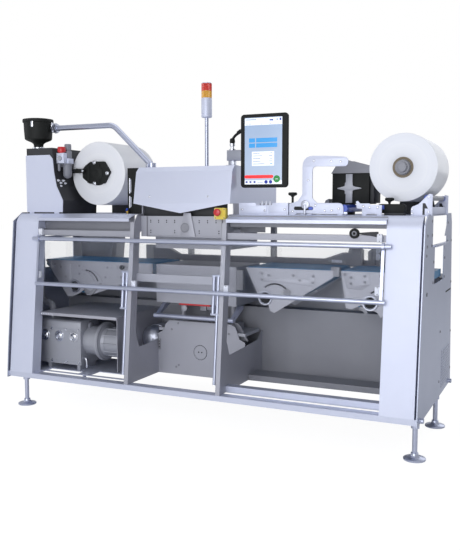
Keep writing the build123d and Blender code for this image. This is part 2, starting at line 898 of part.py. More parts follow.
# Emergency stop: the button's stem runs in a bore of the box
stop_box_x1 = bulkhead_stations[1]
stop_x = stop_box_x1 - 50
stop_z = 1366
with BuildPart() as stop_box:
    block(stop_box_x1 - 78, stop_box_x1, 160, 200, 1322, 1394)
    rod_y(stop_x, 159, 190, stop_z, 10 + journal_gap, mode=Mode.SUBTRACT)
keep(stop_box, "stop_box")

with BuildPart() as stop_button:
    rod_y(stop_x, 120, 140, stop_z, 22)
    rod_y(stop_x, 140, 176, stop_z, 10)
keep(stop_button, "stop_button")

# Film path gear on the right deck
with BuildPart() as film_frame:
    outline_front(
        205,
        [
            (station(2040), deck_height), (station(2075), deck_height), (station(2090), 1364), (station(2330), 1364), (station(2345), deck_height),
            (station(2370), deck_height), (station(2400), 1380), (station(2400), 1405), (station(2385), 1420), (station(2215), 1420), (station(2190), 1438),
            (station(2184), 1475), (station(2184), 1615), (station(2205), 1640), (station(2385), 1643), (station(2400), 1655), (station(2400), 1685),
            (station(2385), 1697), (station(2155), 1697), (station(2130), 1685), (station(2122), 1660), (station(2122), 1475), (station(2100), 1440),
            (station(2045), 1418),
        ],
        10,
    )
    outline_front(
        215,
        [
            (station(2555), deck_height), (station(2575), deck_height), (station(2585), 1358), (station(2640), 1358), (station(2650), deck_height),
            (station(2670), deck_height), (station(2670), 1410), (station(2550), 1410), (station(2535), 1425), (station(2525), 1425), (station(2525), 1400),
            (station(2555), 1395),
        ],
        5,
    )
    block(station(1704), 2030, 210, 270, deck_height, 1425)
keep(film_frame, "film_path_brackets")

with BuildPart() as printer_box:
    block(station(2190), station(2440), 450, 640, 1428, 1605)
    block(station(2190), station(2330), 560, 640, deck_height, 1428)
keep(printer_box, "printer_box")

with BuildPart() as film_roll:
    rod_y(film_reel_station, reel_front, reel_front + reel_width, film_reel_height, film_reel_radius)
    rod_y(film_reel_station, reel_front - 1, reel_front + reel_width + 1, film_reel_height, core_radius, mode=Mode.SUBTRACT)
keep(film_roll, "film_roll")

with BuildPart() as film_core:
    rod_y(film_reel_station, reel_front - 2, reel_front + reel_width, film_reel_height, core_radius)
    rod_y(film_reel_station, reel_front - 40, reel_front, film_reel_height, 40)
    rod_y(film_reel_station, reel_front + reel_width, reel_back - journal_gap, film_reel_height, shaft_radius)
keep(film_core, "film_core_shaft")

with BuildPart() as end_brackets:
    for bracket_y in (250, 831):
        outline_front(
            bracket_y,
            [(length - 125, deck_height), (length - end_sheet, deck_height), (length - end_sheet, 1470),
             (length - 25, 1475), (length - 125, 1410)],
            5,
        )
keep(end_brackets, "film_end_brackets")

with BuildPart() as end_roller:
    rod_y(length - 24, 250 + 5 + journal_gap, 831 - journal_gap, 1452, 16)
keep(end_roller, "end_guide_roller")

with BuildPart() as path_roller:
    rod_y(station(2376), 205 + 10 + journal_gap, reel_back - 5, 1392, 22)
keep(path_roller, "path_guide_roller")

print(len(pieces), "pieces")
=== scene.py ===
import math

import bpy
from mathutils import Matrix, Vector


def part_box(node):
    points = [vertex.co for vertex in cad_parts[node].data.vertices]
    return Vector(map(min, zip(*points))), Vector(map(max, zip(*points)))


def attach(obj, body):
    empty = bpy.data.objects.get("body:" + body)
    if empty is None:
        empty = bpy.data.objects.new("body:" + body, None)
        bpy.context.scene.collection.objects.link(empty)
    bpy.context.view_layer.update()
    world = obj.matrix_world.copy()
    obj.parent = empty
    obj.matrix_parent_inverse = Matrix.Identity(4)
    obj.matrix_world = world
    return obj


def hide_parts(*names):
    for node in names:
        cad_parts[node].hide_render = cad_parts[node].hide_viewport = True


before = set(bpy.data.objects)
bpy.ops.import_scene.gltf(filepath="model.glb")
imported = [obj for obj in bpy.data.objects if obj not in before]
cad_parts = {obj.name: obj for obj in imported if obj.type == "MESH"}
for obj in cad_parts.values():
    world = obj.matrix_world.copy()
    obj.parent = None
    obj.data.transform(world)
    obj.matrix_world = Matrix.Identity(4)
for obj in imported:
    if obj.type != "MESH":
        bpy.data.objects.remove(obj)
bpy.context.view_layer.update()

bl_info = {
    "name": "Tray sealer",
    "version": (1, 0, 0),
    "blender": (4, 5, 0),
    "location": "3D View > Sidebar > Tray sealer",
    "description": "Builds the looks of a tray sealing machine around its packed model",
    "category": "Add Mesh",
}

# Stations are millimetres from the left end plate, the front rail and the floor
MIDDLE_STATION = 1448.25
MIDDLE_DEPTH = 593.0
ORIGIN = (MIDDLE_STATION, MIDDLE_DEPTH, 0)
END_PLATE = 2870.0
RAIL_TOP = 240.0
DECK = 1352
FRONT_LEAN = math.tan(math.radians(5.8))
FILM_REEL = (2686, 1631)
USED_REEL = (548, 1634)
SUCTION_PIPE = (330, 1960)
CURVED_FACE, HOUSING_FACE, LOW_FACE = 205, 207, 215
UP, DOWN, FORWARD, BACK, RIGHT, LEFT = (0, 0, 1), (0, 0, -1), (0, -1, 0), (0, 1, 0), (1, 0, 0), (-1, 0, 0)


def at(x, y, z):
    """Point in the row's frame, in metres, from stations in millimetres."""
    return Vector(((x - MIDDLE_STATION) / 1000, (y - MIDDLE_DEPTH) / 1000, z / 1000))


def front(z):
    """Depth of the leaning front face at height z."""
    return max(0.0, z - RAIL_TOP) * FRONT_LEAN


def stations(name):
    """Two corners of a CAD node's box as stations."""
    return [(x * 1000 + MIDDLE_STATION, y * 1000 + MIDDLE_DEPTH, z * 1000) for x, y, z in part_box(name)]


def around(x, z, radius, degrees):
    """Point on a circle in a plane of two stations."""
    return x + radius * math.cos(math.radians(degrees)), z + radius * math.sin(math.radians(degrees))


# ---- Mesh work ----


def deselect():
    if bpy.context.object and bpy.context.object.mode != "OBJECT":
        bpy.ops.object.mode_set(mode="OBJECT")
    bpy.ops.object.select_all(action="DESELECT")


def pick(*pieces):
    deselect()
    for piece in pieces:
        piece.select_set(True)
    bpy.context.view_layer.objects.active = pieces[0]


def settle(piece):
    """Puts the piece's place into its mesh."""
    pick(piece)
    bpy.ops.object.transform_apply(location=True, rotation=True, scale=True)
    return piece


def smooth(piece, angle):
    pick(piece)
    bpy.ops.object.shade_smooth_by_angle(angle=math.radians(angle))
    return piece


def dress(piece, material):
    """Gives the piece one material."""
    piece.data.materials.clear()
    piece.data.materials.append(MATERIALS[material])
    return piece


def block(low, high):
    """Block between two corners given as stations."""
    deselect()
    a, b = at(*low), at(*high)
    bpy.ops.mesh.primitive_cube_add(size=1, location=(a + b) / 2, scale=b - a)
    return settle(bpy.context.object)


def rod(material, start, end, radius, sides):
    """Round bar between two stations."""
    deselect()
    a, b = at(*start), at(*end)
    bpy.ops.mesh.primitive_cone_add(
        vertices=sides, radius1=radius / 1000, radius2=radius / 1000, depth=(b - a).length, location=(a + b) / 2,
        rotation=(b - a).to_track_quat("Z", "Y").to_euler(),
    )
    return dress(settle(bpy.context.object), material)


def turned(material, base, direction, profile, sides=48):
    """Turned body: profile lists (radius, height) in millimetres from the base along the direction."""
    deselect()
    radius, height = profile[0]
    bpy.ops.mesh.primitive_circle_add(vertices=sides, radius=radius / 1000, fill_type="NGON", location=(0, 0, 0))
    piece = bpy.context.object
    bpy.ops.object.mode_set(mode="EDIT")
    bpy.ops.mesh.select_all(action="SELECT")
    bpy.ops.transform.translate(value=(0, 0, height / 1000))
    for next_radius, next_height in profile[1:]:
        bpy.ops.mesh.extrude_region_move(TRANSFORM_OT_translate={"value": (0, 0, (next_height - height) / 1000)})
        ratio = max(next_radius, 0.01) / max(radius, 0.01)
        bpy.ops.transform.resize(value=(ratio, ratio, 1), center_override=(0, 0, next_height / 1000))
        radius, height = next_radius, next_height
    clean(0.00002)
    piece.rotation_euler = Vector(direction).to_track_quat("Z", "Y").to_euler()
    piece.location = at(*base)
    return dress(smooth(settle(piece), 35), material)


def clean(distance):
    """Merges doubled points, turns all faces outwards and leaves edit mode."""
    bpy.ops.mesh.select_all(action="SELECT")
    bpy.ops.mesh.remove_doubles(threshold=distance)
    bpy.ops.mesh.normals_make_consistent(inside=False)
    bpy.ops.object.mode_set(mode="OBJECT")


def open_selected(piece, faces, test):
    """Opens edit mode with the faces, or else the edges, selected whose middle and direction pass the test."""
    pick(piece)
    bpy.context.tool_settings.mesh_select_mode = (False, not faces, faces)
    mesh = piece.data
    for group in (mesh.vertices, mesh.edges, mesh.polygons):
        group.foreach_set("select", [False] * len(group))
    if faces:
        for face in mesh.polygons:
            face.select = test(face.center, face.normal)
    else:
        for edge in mesh.edges:
            a, b = (mesh.vertices[i].co for i in edge.vertices)
            edge.select = test((a + b) / 2, (b - a).normalized())
    bpy.ops.object.mode_set(mode="EDIT")


def round_edges(piece, radius, segments, axis=BACK):
    """Rounds the edges that run along an axis."""
    line = Vector(axis)
    open_selected(piece, False, lambda middle, direction: abs(direction.dot(line)) > 0.99)
    bpy.ops.mesh.bevel(offset=radius / 1000, offset_type="OFFSET", segments=segments, affect="EDGES")
    bpy.ops.object.mode_set(mode="OBJECT")
    return piece


def inset_face(piece, normal, inset, push):
    """Insets the faces that look along a normal and pushes them in or out."""
    line = Vector(normal)
    open_selected(piece, True, lambda middle, direction: direction.dot(line) > 0.99)
    bpy.ops.mesh.inset(thickness=inset / 1000, depth=0)
    bpy.ops.transform.translate(value=line * (push / 1000))
    bpy.ops.object.mode_set(mode="OBJECT")
    return piece


def soften(piece, width, segments=2):
    """Bevels all sharp edges and shades the piece smooth."""
    pick(piece)
    bevel = piece.modifiers.new("Bevel", "BEVEL")
    bevel.width = width / 1000
    bevel.segments = segments
    bevel.limit_method = "ANGLE"
    bevel.angle_limit = math.radians(35)
    bpy.ops.object.modifier_apply(modifier=bevel.name)
    return smooth(piece, 40)


def box(material, low, high, edge, corners=None, segments=2):
    """Block with softened edges; corners gives the radius and segments of its rounded corners, and their axis."""
    piece = block(low, high)
    if corners:
        round_edges(piece, *corners)
    return dress(soften(piece, edge, segments), material)


def add_object(name, data):
    """New object in the scene that holds a curve, lamp or camera."""
    made = bpy.data.objects.new(name, data)
    bpy.context.scene.collection.objects.link(made)
    return made


def mesh_from(curve):
    """Piece made from a curve."""
    pick(add_object(curve.name, curve))
    bpy.ops.object.convert(target="MESH")
    return bpy.context.object


def sheet(material, points, thickness, depth, edge=0, side=False):
    """Plate with an outline of (x, z) that runs back from a depth, or of (y, z) to the right from a station."""
    curve = bpy.data.curves.new("Outline", "CURVE")
    curve.dimensions = "2D"
    curve.fill_mode = "BOTH"
    spline = curve.splines.new("POLY")
    spline.points.add(len(points) - 1)
    for point, (u, v) in zip(spline.points, points):
        point.co = (u / 1000, v / 1000, 0, 1)
    spline.use_cyclic_u = True
    curve.extrude = thickness / 2000
    piece = mesh_from(curve)
    middle = depth + thickness / 2
    if side:
        turn = Matrix(((0, 0, 1, 0), (1, 0, 0, 0), (0, 1, 0, 0), (0, 0, 0, 1)))
        piece.matrix_world = Matrix.Translation(at(middle, 0, 0)) @ turn
    else:
        piece.matrix_world = Matrix.Translation(at(0, middle, 0)) @ Matrix.Rotation(math.pi / 2, 4, "X")
    settle(piece)
    bpy.ops.object.mode_set(mode="EDIT")
    clean(0.00001)
    if edge:
        soften(piece, edge)
    return dress(piece, material)


def arc_points(x, z, radius, count, start, end):
    """Points along an arc from a start to an end in degrees."""
    return [around(x, z, radius, start + (end - start) * i / (count - 1)) for i in range(count)]


def slot_points(x0, x1, z, half):
    """Outline of a slot with round ends."""
    return arc_points(x1 - half, z, half, 9, -90, 90) + arc_points(x0 + half, z, half, 9, 90, 270)


def arc_band(x, z, radius, half, start, end):
    """Outline of a curved slot round a centre."""
    return arc_points(x, z, radius + half, 15, start, end) + arc_points(x, z, radius - half, 15, start, end)[::-1]


def rounded(radius, *points):
    """Outline with round corners; a point may carry its own radius as a third value."""
    made = []
    for i, point in enumerate(points):
        corner = Vector(point[:2])
        before = Vector(points[i - 1][:2]) - corner
        after = Vector(points[(i + 1) % len(points)][:2]) - corner
        half = before.angle(after) / 2
        own = point[2] if len(point) > 2 else radius
        if half > 1.5:
            made.append(tuple(corner))
            continue
        run = min(own / math.tan(half), before.length * 0.48, after.length * 0.48)
        start = corner + before.normalized() * run
        end = corner + after.normalized() * run
        for t in (0, 0.2, 0.4, 0.6, 0.8, 1):
            made.append(tuple(start * (1 - t) ** 2 + corner * (2 * t * (1 - t)) + end * t ** 2))
    return made


def tube(material, points, radius, resolution=4):
    """Bent tube through stations with smooth corners."""
    curve = bpy.data.curves.new("Tube", "CURVE")
    curve.dimensions = "3D"
    curve.bevel_depth = radius / 1000
    curve.bevel_resolution = resolution
    curve.use_fill_caps = True
    spline = curve.splines.new("NURBS")
    spline.points.add(len(points) - 1)
    for point, place in zip(spline.points, points):
        point.co = (*at(*place), 1)
    spline.order_u = 3
    spline.use_endpoint_u = True
    spline.resolution_u = 8
    return dress(smooth(mesh_from(curve), 50), material)


def join(pieces):
    """Joins pieces that already have their materials."""
    pick(*pieces)
    if len(pieces) > 1:
        bpy.ops.object.join()
    return bpy.context.object


def copies(material, profile, sides, places):
    """Copies of one small turned body at (station, direction) places, joined."""
    master = turned(material, ORIGIN, UP, profile, sides)
    made = []
    for place, direction in places:
        turn = Vector(direction).to_track_quat("Z", "Y").to_matrix().to_4x4()
        copy = master.copy()
        copy.data = master.data.copy()
        bpy.context.scene.collection.objects.link(copy)
        copy.data.transform(Matrix.Translation(at(*place)) @ turn)
        made.append(copy)
    bpy.data.objects.remove(master)
    return join(made)


def hand_in(name, parts, body="machine", replaced=None):
    """Joins parts into a named piece, attaches it to its body and hides the node it stands for."""
    piece = join(parts)
    piece.name = name
    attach(piece, body)
    if replaced:
        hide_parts(replaced)


# ---- Materials ----

MATERIALS = {}


def linear(code):
    """Linear RGBA from an sRGB hex code."""
    channels = [int(code[i:i + 2], 16) / 255 for i in (1, 3, 5)]
    return [c / 12.92 if c <= 0.04045 else ((c + 0.055) / 1.055) ** 2.4 for c in channels] + [1.0]


def node(tree, kind, settings=None, **links):
    """Adds a node, sets its properties or input values, and links its inputs to sockets or to nodes' first outputs."""
    made = tree.nodes.new(kind)
    for key, value in (settings or {}).items():
        if isinstance(key, int) or key in made.inputs:
            made.inputs[key].default_value = value
        else:
            setattr(made, key, value)
    for key, source in links.items():
        socket = getattr(source, "outputs", [source])[0]
        tree.links.new(socket, made.inputs[int(key[2:]) if key.startswith("in") else key])
    return made


def start_material(name, settings=None):
    """New material, its node tree and its Object coordinates; settings are inputs of its shader."""
    material = bpy.data.materials.new(name)
    material.use_nodes = True
    tree = material.node_tree
    for key, value in (settings or {}).items():
        tree.nodes["Principled BSDF"].inputs[key].default_value = value
    return material, tree, node(tree, "ShaderNodeTexCoord").outputs["Object"]


def lead(material, colour, shade, mix, gloss=None, relief=None, glow=False):
    """Leads two mixed tones, a gloss (source, low, high) and a relief (source, strength, depth) into the shader."""
    tree = material.node_tree
    shader = tree.nodes["Principled BSDF"]
    tone = node(tree, "ShaderNodeMix", {"data_type": "RGBA", 6: linear(colour), 7: linear(shade)}, in0=mix)
    tree.links.new(tone.outputs[2], shader.inputs["Base Color"])
    if glow:
        tree.links.new(tone.outputs[2], shader.inputs["Emission Color"])
    if gloss:
        source, low, high = gloss
        rough = node(tree, "ShaderNodeMapRange", {"To Min": low, "To Max": high}, Value=source)
        tree.links.new(rough.outputs[0], shader.inputs["Roughness"])
    if relief:
        source, strength, depth = relief
        bump = node(tree, "ShaderNodeBump", {"Strength": strength, "Distance": depth}, Height=source)
        tree.links.new(bump.outputs[0], shader.inputs["Normal"])
    return material


def blasted(name, colour, shade, roughness=0.42, metallic=0.8, scale=900.0, strength=0.05):
    """Bead-blasted stainless sheet: an even fine grit that scatters the light, with faint cloudy tone."""
    material, tree, place = start_material(name, {"Metallic": metallic})
    cloud = node(tree, "ShaderNodeTexNoise", {"Scale": 3.0, "Detail": 4.0, "Roughness": 0.6}, Vector=place)
    grit = node(tree, "ShaderNodeTexNoise", {"Scale": scale, "Detail": 3.0}, Vector=place)
    return lead(material, colour, shade, cloud, (grit, roughness - 0.06, roughness + 0.08),
                (grit, strength, 0.0004))


def brushed(name, colour, shade, axis, roughness=0.3, metallic=0.9):
    """Ground or drawn metal: long fine scratches along one axis."""
    material, tree, place = start_material(name, {"Metallic": metallic})
    stretch = [220.0, 220.0, 220.0]
    stretch[axis] = 4.0
    drawn = node(tree, "ShaderNodeMapping", {"Scale": stretch}, Vector=place)
    lines = node(tree, "ShaderNodeTexNoise", {"Scale": 3.0, "Detail": 5.0, "Roughness": 0.7}, Vector=drawn)
    return lead(material, colour, shade, lines, (lines, roughness - 0.08, roughness + 0.12), (lines, 0.06, 0.0003))


def moulded(name, colour, shade, roughness=0.45, coat=0.0, gloss=0.5):
    """Moulded plastic: a fine spark-eroded skin with a slightly uneven gloss."""
    material, tree, place = start_material(name, {"Coat Weight": coat, "Specular IOR Level": gloss})
    skin = node(tree, "ShaderNodeTexNoise", {"Scale": 700.0, "Detail": 2.0}, Vector=place)
    cloud = node(tree, "ShaderNodeTexNoise", {"Scale": 14.0, "Detail": 3.0}, Vector=place)
    return lead(material, colour, shade, cloud, (cloud, roughness - 0.05, roughness + 0.07), (skin, 0.08, 0.0003))


def belt_polyurethane():
    """Polyurethane belt: satin blue skin with the fine weave of its carcass."""
    material, tree, place = start_material("Belt_polyurethane")
    weave = node(tree, "ShaderNodeTexWave", {"Scale": 160.0, "Distortion": 0.6, "Detail": 2.0}, Vector=place)
    cloud = node(tree, "ShaderNodeTexNoise", {"Scale": 6.0, "Detail": 3.0}, Vector=place)
    return lead(material, "#3E86B4", "#2F6E9C", cloud, (cloud, 0.38, 0.52), (weave, 0.1, 0.0003))


def wound_film(name, axis, colour, shade):
    """Wound film: fine rings on the face round the reel's axis, where the winding tension changes."""
    material, tree, place = start_material(name, {"Coat Weight": 0.25, "Coat Roughness": 0.2})
    centre = at(axis[0], 0, axis[1])
    moved = node(tree, "ShaderNodeMapping", {"Location": (-centre.x, 0, -centre.z), "Scale": (1, 0, 1)}, Vector=place)
    away = node(tree, "ShaderNodeVectorMath", {"operation": "LENGTH"}, in0=moved).outputs["Value"]
    fine = {"noise_dimensions": "1D", "Scale": 420.0, "Detail": 4.0}
    rings = node(tree, "ShaderNodeTexNoise", fine, W=away)
    broad = node(tree, "ShaderNodeTexNoise", {"noise_dimensions": "1D", "Scale": 26.0, "Detail": 2.0}, W=away)
    return lead(material, colour, shade, broad, (rings, 0.3, 0.5), (rings, 0.12, 0.0004))


def clear_sheet():
    """Clear polycarbonate sheet: nearly colourless, with a faint blue body and fine wipe marks in its gloss."""
    material, tree, place = start_material(
        "Clear_polycarbonate", {"Transmission Weight": 1.0, "IOR": 1.1, "Alpha": 0.16})
    marks = node(tree, "ShaderNodeTexNoise", {"Scale": 30.0, "Detail": 6.0}, Vector=place)
    return lead(material, "#F2F6FB", "#E6EEF8", marks, (marks, 0.02, 0.08))


def lamp_lens(name, colour, shade):
    """Ribbed acrylic lens: clear colour that glows a little from the light inside."""
    material, tree, place = start_material(
        name, {"Transmission Weight": 0.25, "Coat Weight": 0.4, "Emission Strength": 0.12})
    cloud = node(tree, "ShaderNodeTexNoise", {"Scale": 40.0, "Detail": 2.0}, Vector=place)
    return lead(material, colour, shade, cloud, (cloud, 0.18, 0.28), glow=True)


def lit_display(name, colour, shade):
    """Back-lit display area: an even colour that runs slightly from top to bottom, under smooth glass."""
    material, tree, place = start_material(name, {"Roughness": 0.12, "Emission Strength": 0.45})
    parts = node(tree, "ShaderNodeSeparateXYZ", in0=place)
    ramp = node(tree, "ShaderNodeMapRange", {"From Min": 1.54, "From Max": 1.955}, Value=parts.outputs[2])
    return lead(material, shade, colour, ramp, glow=True)


def wound_board():
    """Wound board core: brown paper with faint layers round it."""
    material, tree, place = start_material("Wound_board")
    fibre = node(tree, "ShaderNodeTexNoise", {"Scale": 300.0, "Detail": 4.0}, Vector=place)
    return lead(material, "#8E8270", "#6F6454", fibre, (fibre, 0.65, 0.85))


# ---- Sizes and finishes a user would change ----


class SealerSizes(bpy.types.PropertyGroup):
    screen_corner: bpy.props.FloatProperty(
        name="Screen corner", description="Corner radius of the screen in millimetres", default=22.0, min=5.0, max=40.0
    )
    screw_radius: bpy.props.FloatProperty(
        name="Screw head", description="Radius of the small screw heads in millimetres", default=7.0, min=3.0, max=12.0
    )
    floor_size: bpy.props.FloatProperty(
        name="Floor", description="Length of the floor's side", default=60.0, min=10.0, max=200.0, unit="LENGTH"
    )


class SealerColours(bpy.types.PropertyGroup):
    floor_colour: bpy.props.FloatVectorProperty(
        name="Floor colour", description="Colour of the studio floor", subtype="COLOR", size=3,
        default=(0.92, 0.92, 0.93), min=0.0, max=1.0
    )
    light_colour: bpy.props.FloatVectorProperty(
        name="Light colour", description="Colour of the soft studio lights", subtype="COLOR", size=3,
        default=(0.96, 0.975, 1.0), min=0.0, max=1.0
    )


# ---- Operators ----


class SEALER_OT_stage(bpy.types.Operator):
    """Floor, soft lights and the camera"""
    bl_idname = "sealer.stage"
    bl_label = "Stage"

    def execute(self, context):
        sizes = context.scene.sealer_sizes
        colours = context.scene.sealer_colours
        deselect()
        bpy.ops.mesh.primitive_plane_add(size=sizes.floor_size, location=(0, 0, 0))
        floor = bpy.context.object
        floor.name = "Studio_floor"
        # Painted studio floor that the camera sees nearly white
        material, tree, _ = start_material("Studio_floor", {
            "Base Color": (*colours.floor_colour, 1), "Roughness": 0.9, "Specular IOR Level": 0.1})
        shader = tree.nodes["Principled BSDF"]
        bright = node(tree, "ShaderNodeEmission", {"Color": (1, 1, 1, 1), "Strength": 1.14})
        path = node(tree, "ShaderNodeLightPath")
        share = node(tree, "ShaderNodeMath", {"operation": "MULTIPLY", 1: 0.82}, in0=path.outputs["Is Camera Ray"])
        mixed = node(tree, "ShaderNodeMixShader", in0=share, in1=shader, in2=bright)
        tree.links.new(mixed.outputs[0], tree.nodes["Material Output"].inputs[0])
        floor.data.materials.append(material)

        world = bpy.data.worlds.new("Studio")
        context.scene.world = world
        world.use_nodes = True
        tree = world.node_tree
        tree.nodes.clear()
        path = node(tree, "ShaderNodeLightPath")
        soft = node(tree, "ShaderNodeBackground", {"Color": (0.93, 0.95, 1.0, 1), "Strength": 0.5})
        white = node(tree, "ShaderNodeBackground", {"Color": (1, 1, 1, 1), "Strength": 1.0})
        seen = node(tree, "ShaderNodeMath", {"operation": "MAXIMUM"}, in0=path.outputs["Is Camera Ray"],
                    in1=path.outputs["Is Transmission Ray"])
        mixed = node(tree, "ShaderNodeMixShader", in0=seen, in1=soft, in2=white)
        node(tree, "ShaderNodeOutputWorld", in0=mixed)

        aim = Vector((0, 0, 1))
        for name, place, size, power in (
            ("Key_light", (0.3, -6.5, 2.2), 4.5, 178), ("Top_light", (-0.5, 0.5, 6.5), 5.0, 70),
            ("Left_light", (-6.5, -2.0, 2.6), 3.0, 40), ("Back_light", (2.0, 6.0, 3.5), 4.0, 50),
        ):
            lamp = bpy.data.lights.new(name, "AREA")
            lamp.shape = "SQUARE"
            lamp.size = size
            lamp.energy = power
            lamp.color = colours.light_colour
            holder = add_object(name, lamp)
            holder.location = place
            holder.rotation_euler = (aim - Vector(place)).to_track_quat("-Z", "Y").to_euler()

        camera = bpy.data.cameras.new("Camera")
        camera.lens = 47.68
        camera.sensor_width = 36
        holder = add_object("Camera", camera)
        holder.location = at(3579.88, -3955.54, 1410.51)
        holder.rotation_euler = (math.radians(90 - 5.47), 0, math.radians(24.94))
        context.scene.camera = holder
        context.scene.view_settings.view_transform = "Standard"
        return {"FINISHED"}


class SEALER_OT_finishes(bpy.types.Operator):
    """Materials of the machine, and the finish of every CAD node"""
    bl_idname = "sealer.finishes"
    bl_label = "Finishes"

    def execute(self, context):
        MATERIALS.update(
            blasted=blasted("Bead_blasted_stainless", "#D6DAEA", "#CBD0E3", metallic=0.6),
            pale=blasted("Blasted_cover_sheet", "#D9DDEE", "#CED3E6", roughness=0.5, metallic=0.4),
            # The end plates take a darker copy of the blasted stainless: painted shade on the end faces that turn away
            # from the light
            side_steel=blasted("Blasted_end_sheet", "#BFC4D4", "#B2B8CA"),
            inner_steel=blasted("Blasted_inner_sheet", "#B3B4BD", "#A5A6B0", roughness=0.5, metallic=0.45),
            # Darker copy of the inner sheet for parts inside, at the rear and under the deck: painted shade
            dark_steel=blasted("Shaded_inner_sheet", "#97989F", "#898A92", roughness=0.55, metallic=0.4),
            tube=brushed("Drawn_stainless_tube", "#CDD2E4", "#B9BED2", 0),
            upright=brushed("Drawn_stainless_rod", "#C6CBDD", "#B0B5C8", 2),
            machined=brushed("Machined_aluminium", "#C4C7D2", "#ABAEBB", 1, roughness=0.32),
            cast=blasted("Cast_aluminium", "#B4B6BE", "#A3A5AE", roughness=0.5, metallic=0.4, scale=260.0,
                         strength=0.2),
            chrome=brushed("Polished_steel", "#DADCE2", "#C8CAD2", 2, roughness=0.16, metallic=1.0),
            black=moulded("Moulded_black_nylon", "#1D1F1E", "#151716", roughness=0.55, gloss=0.25),
            charcoal=blasted("Powder_coated_charcoal", "#323338", "#292A2E", roughness=0.55, metallic=0.0,
                             scale=420.0, strength=0.2),
            white=moulded("Moulded_white_nylon", "#E9EBF3", "#DDE0EC", roughness=0.4),
            grey=moulded("Moulded_grey_nylon", "#8B8D96", "#7C7E88", roughness=0.42),
            red=moulded("Moulded_red_nylon", "#D22A2E", "#BC1F26", roughness=0.28, coat=0.3),
            yellow=moulded("Moulded_yellow_shell", "#EBD662", "#DCC54E", roughness=0.35, coat=0.1),
            blue=moulded("Blue_roller_sleeve", "#2343A6", "#1B3689", roughness=0.3, coat=0.2),
            bright_blue=moulded("Bright_blue_ring", "#2F55C4", "#2547AE", roughness=0.3, coat=0.2),
            brass=brushed("Turned_brass", "#B99A4E", "#A38540", 2),
            belt=belt_polyurethane(),
            pane=clear_sheet(),
            board=wound_board(),
            film_right=wound_film("Wound_sealing_film", FILM_REEL, "#EEF0F4", "#E2E5EF"),
            film_left=wound_film("Wound_used_film", USED_REEL, "#EEEFF1", "#E3E5EC"),
            amber=lamp_lens("Amber_acrylic_lens", "#E2B34A", "#D19A34"),
            red_lens=lamp_lens("Red_acrylic_lens", "#D8453B", "#C2342E"),
            shadow=moulded("Dark_opening", "#1D1E22", "#15161A", roughness=0.7),
        )
        for material, nodes in {
            "blasted": ("base_frame", "left_deck", "right_deck", "station_hood", "levelling_feet"),
            "pale": ("left_pillar_cover", "right_pillar_cover", "side_cover", "film_path_brackets",
                     "film_end_brackets"),
            # The end plates take the darker copy of the stainless: painted shade on their faces
            "side_steel": ("left_end_plate", "right_end_plate"),
            "inner_steel": ("left_conveyor_frame", "middle_conveyor_frame", "right_conveyor_frame", "upper_tool",
                            "lower_tool", "mechanism_plate", "pump_cover", "front_beams", "bulkhead_1", "bulkhead_2"),
            # The rear cabinet, transfer beam and rear rail take the darker copy: painted shade at the back of the
            # machine
            "dark_steel": ("rear_cabinet", "transfer_beam", "rear_rail"),
            "tube": ("guard_pivot_tube", "guard_handle_tube", "lift_bar", "suction_pipe"),
            "upright": ("twin_tubes",),
            "machined": ("screen_arm",),
            "cast": ("vacuum_pump", "lift_drive"),
            "black": ("reel_hub", "filter_canister", "stop_button", "screen", "vacuum_hose"),
            "charcoal": ("reel_stands", "printer_box", "filter_cabinet"),
            "grey": ("air_service_unit",),
            "white": ("guard_switches",),
            "red": ("tool_latch", "beacon"),
            "yellow": ("stop_box",),
            "blue": ("path_guide_roller", "end_guide_roller"),
            "belt": ("conveyor_belts",),
            "pane": ("guard_pane",),
            "board": ("film_core_shaft",),
            "film_right": ("film_roll",),
            "film_left": ("used_film_reel",),
        }.items():
            for name in nodes:
                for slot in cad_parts[name].material_slots:
                    slot.material = MATERIALS[material]
        return {"FINISHED"}


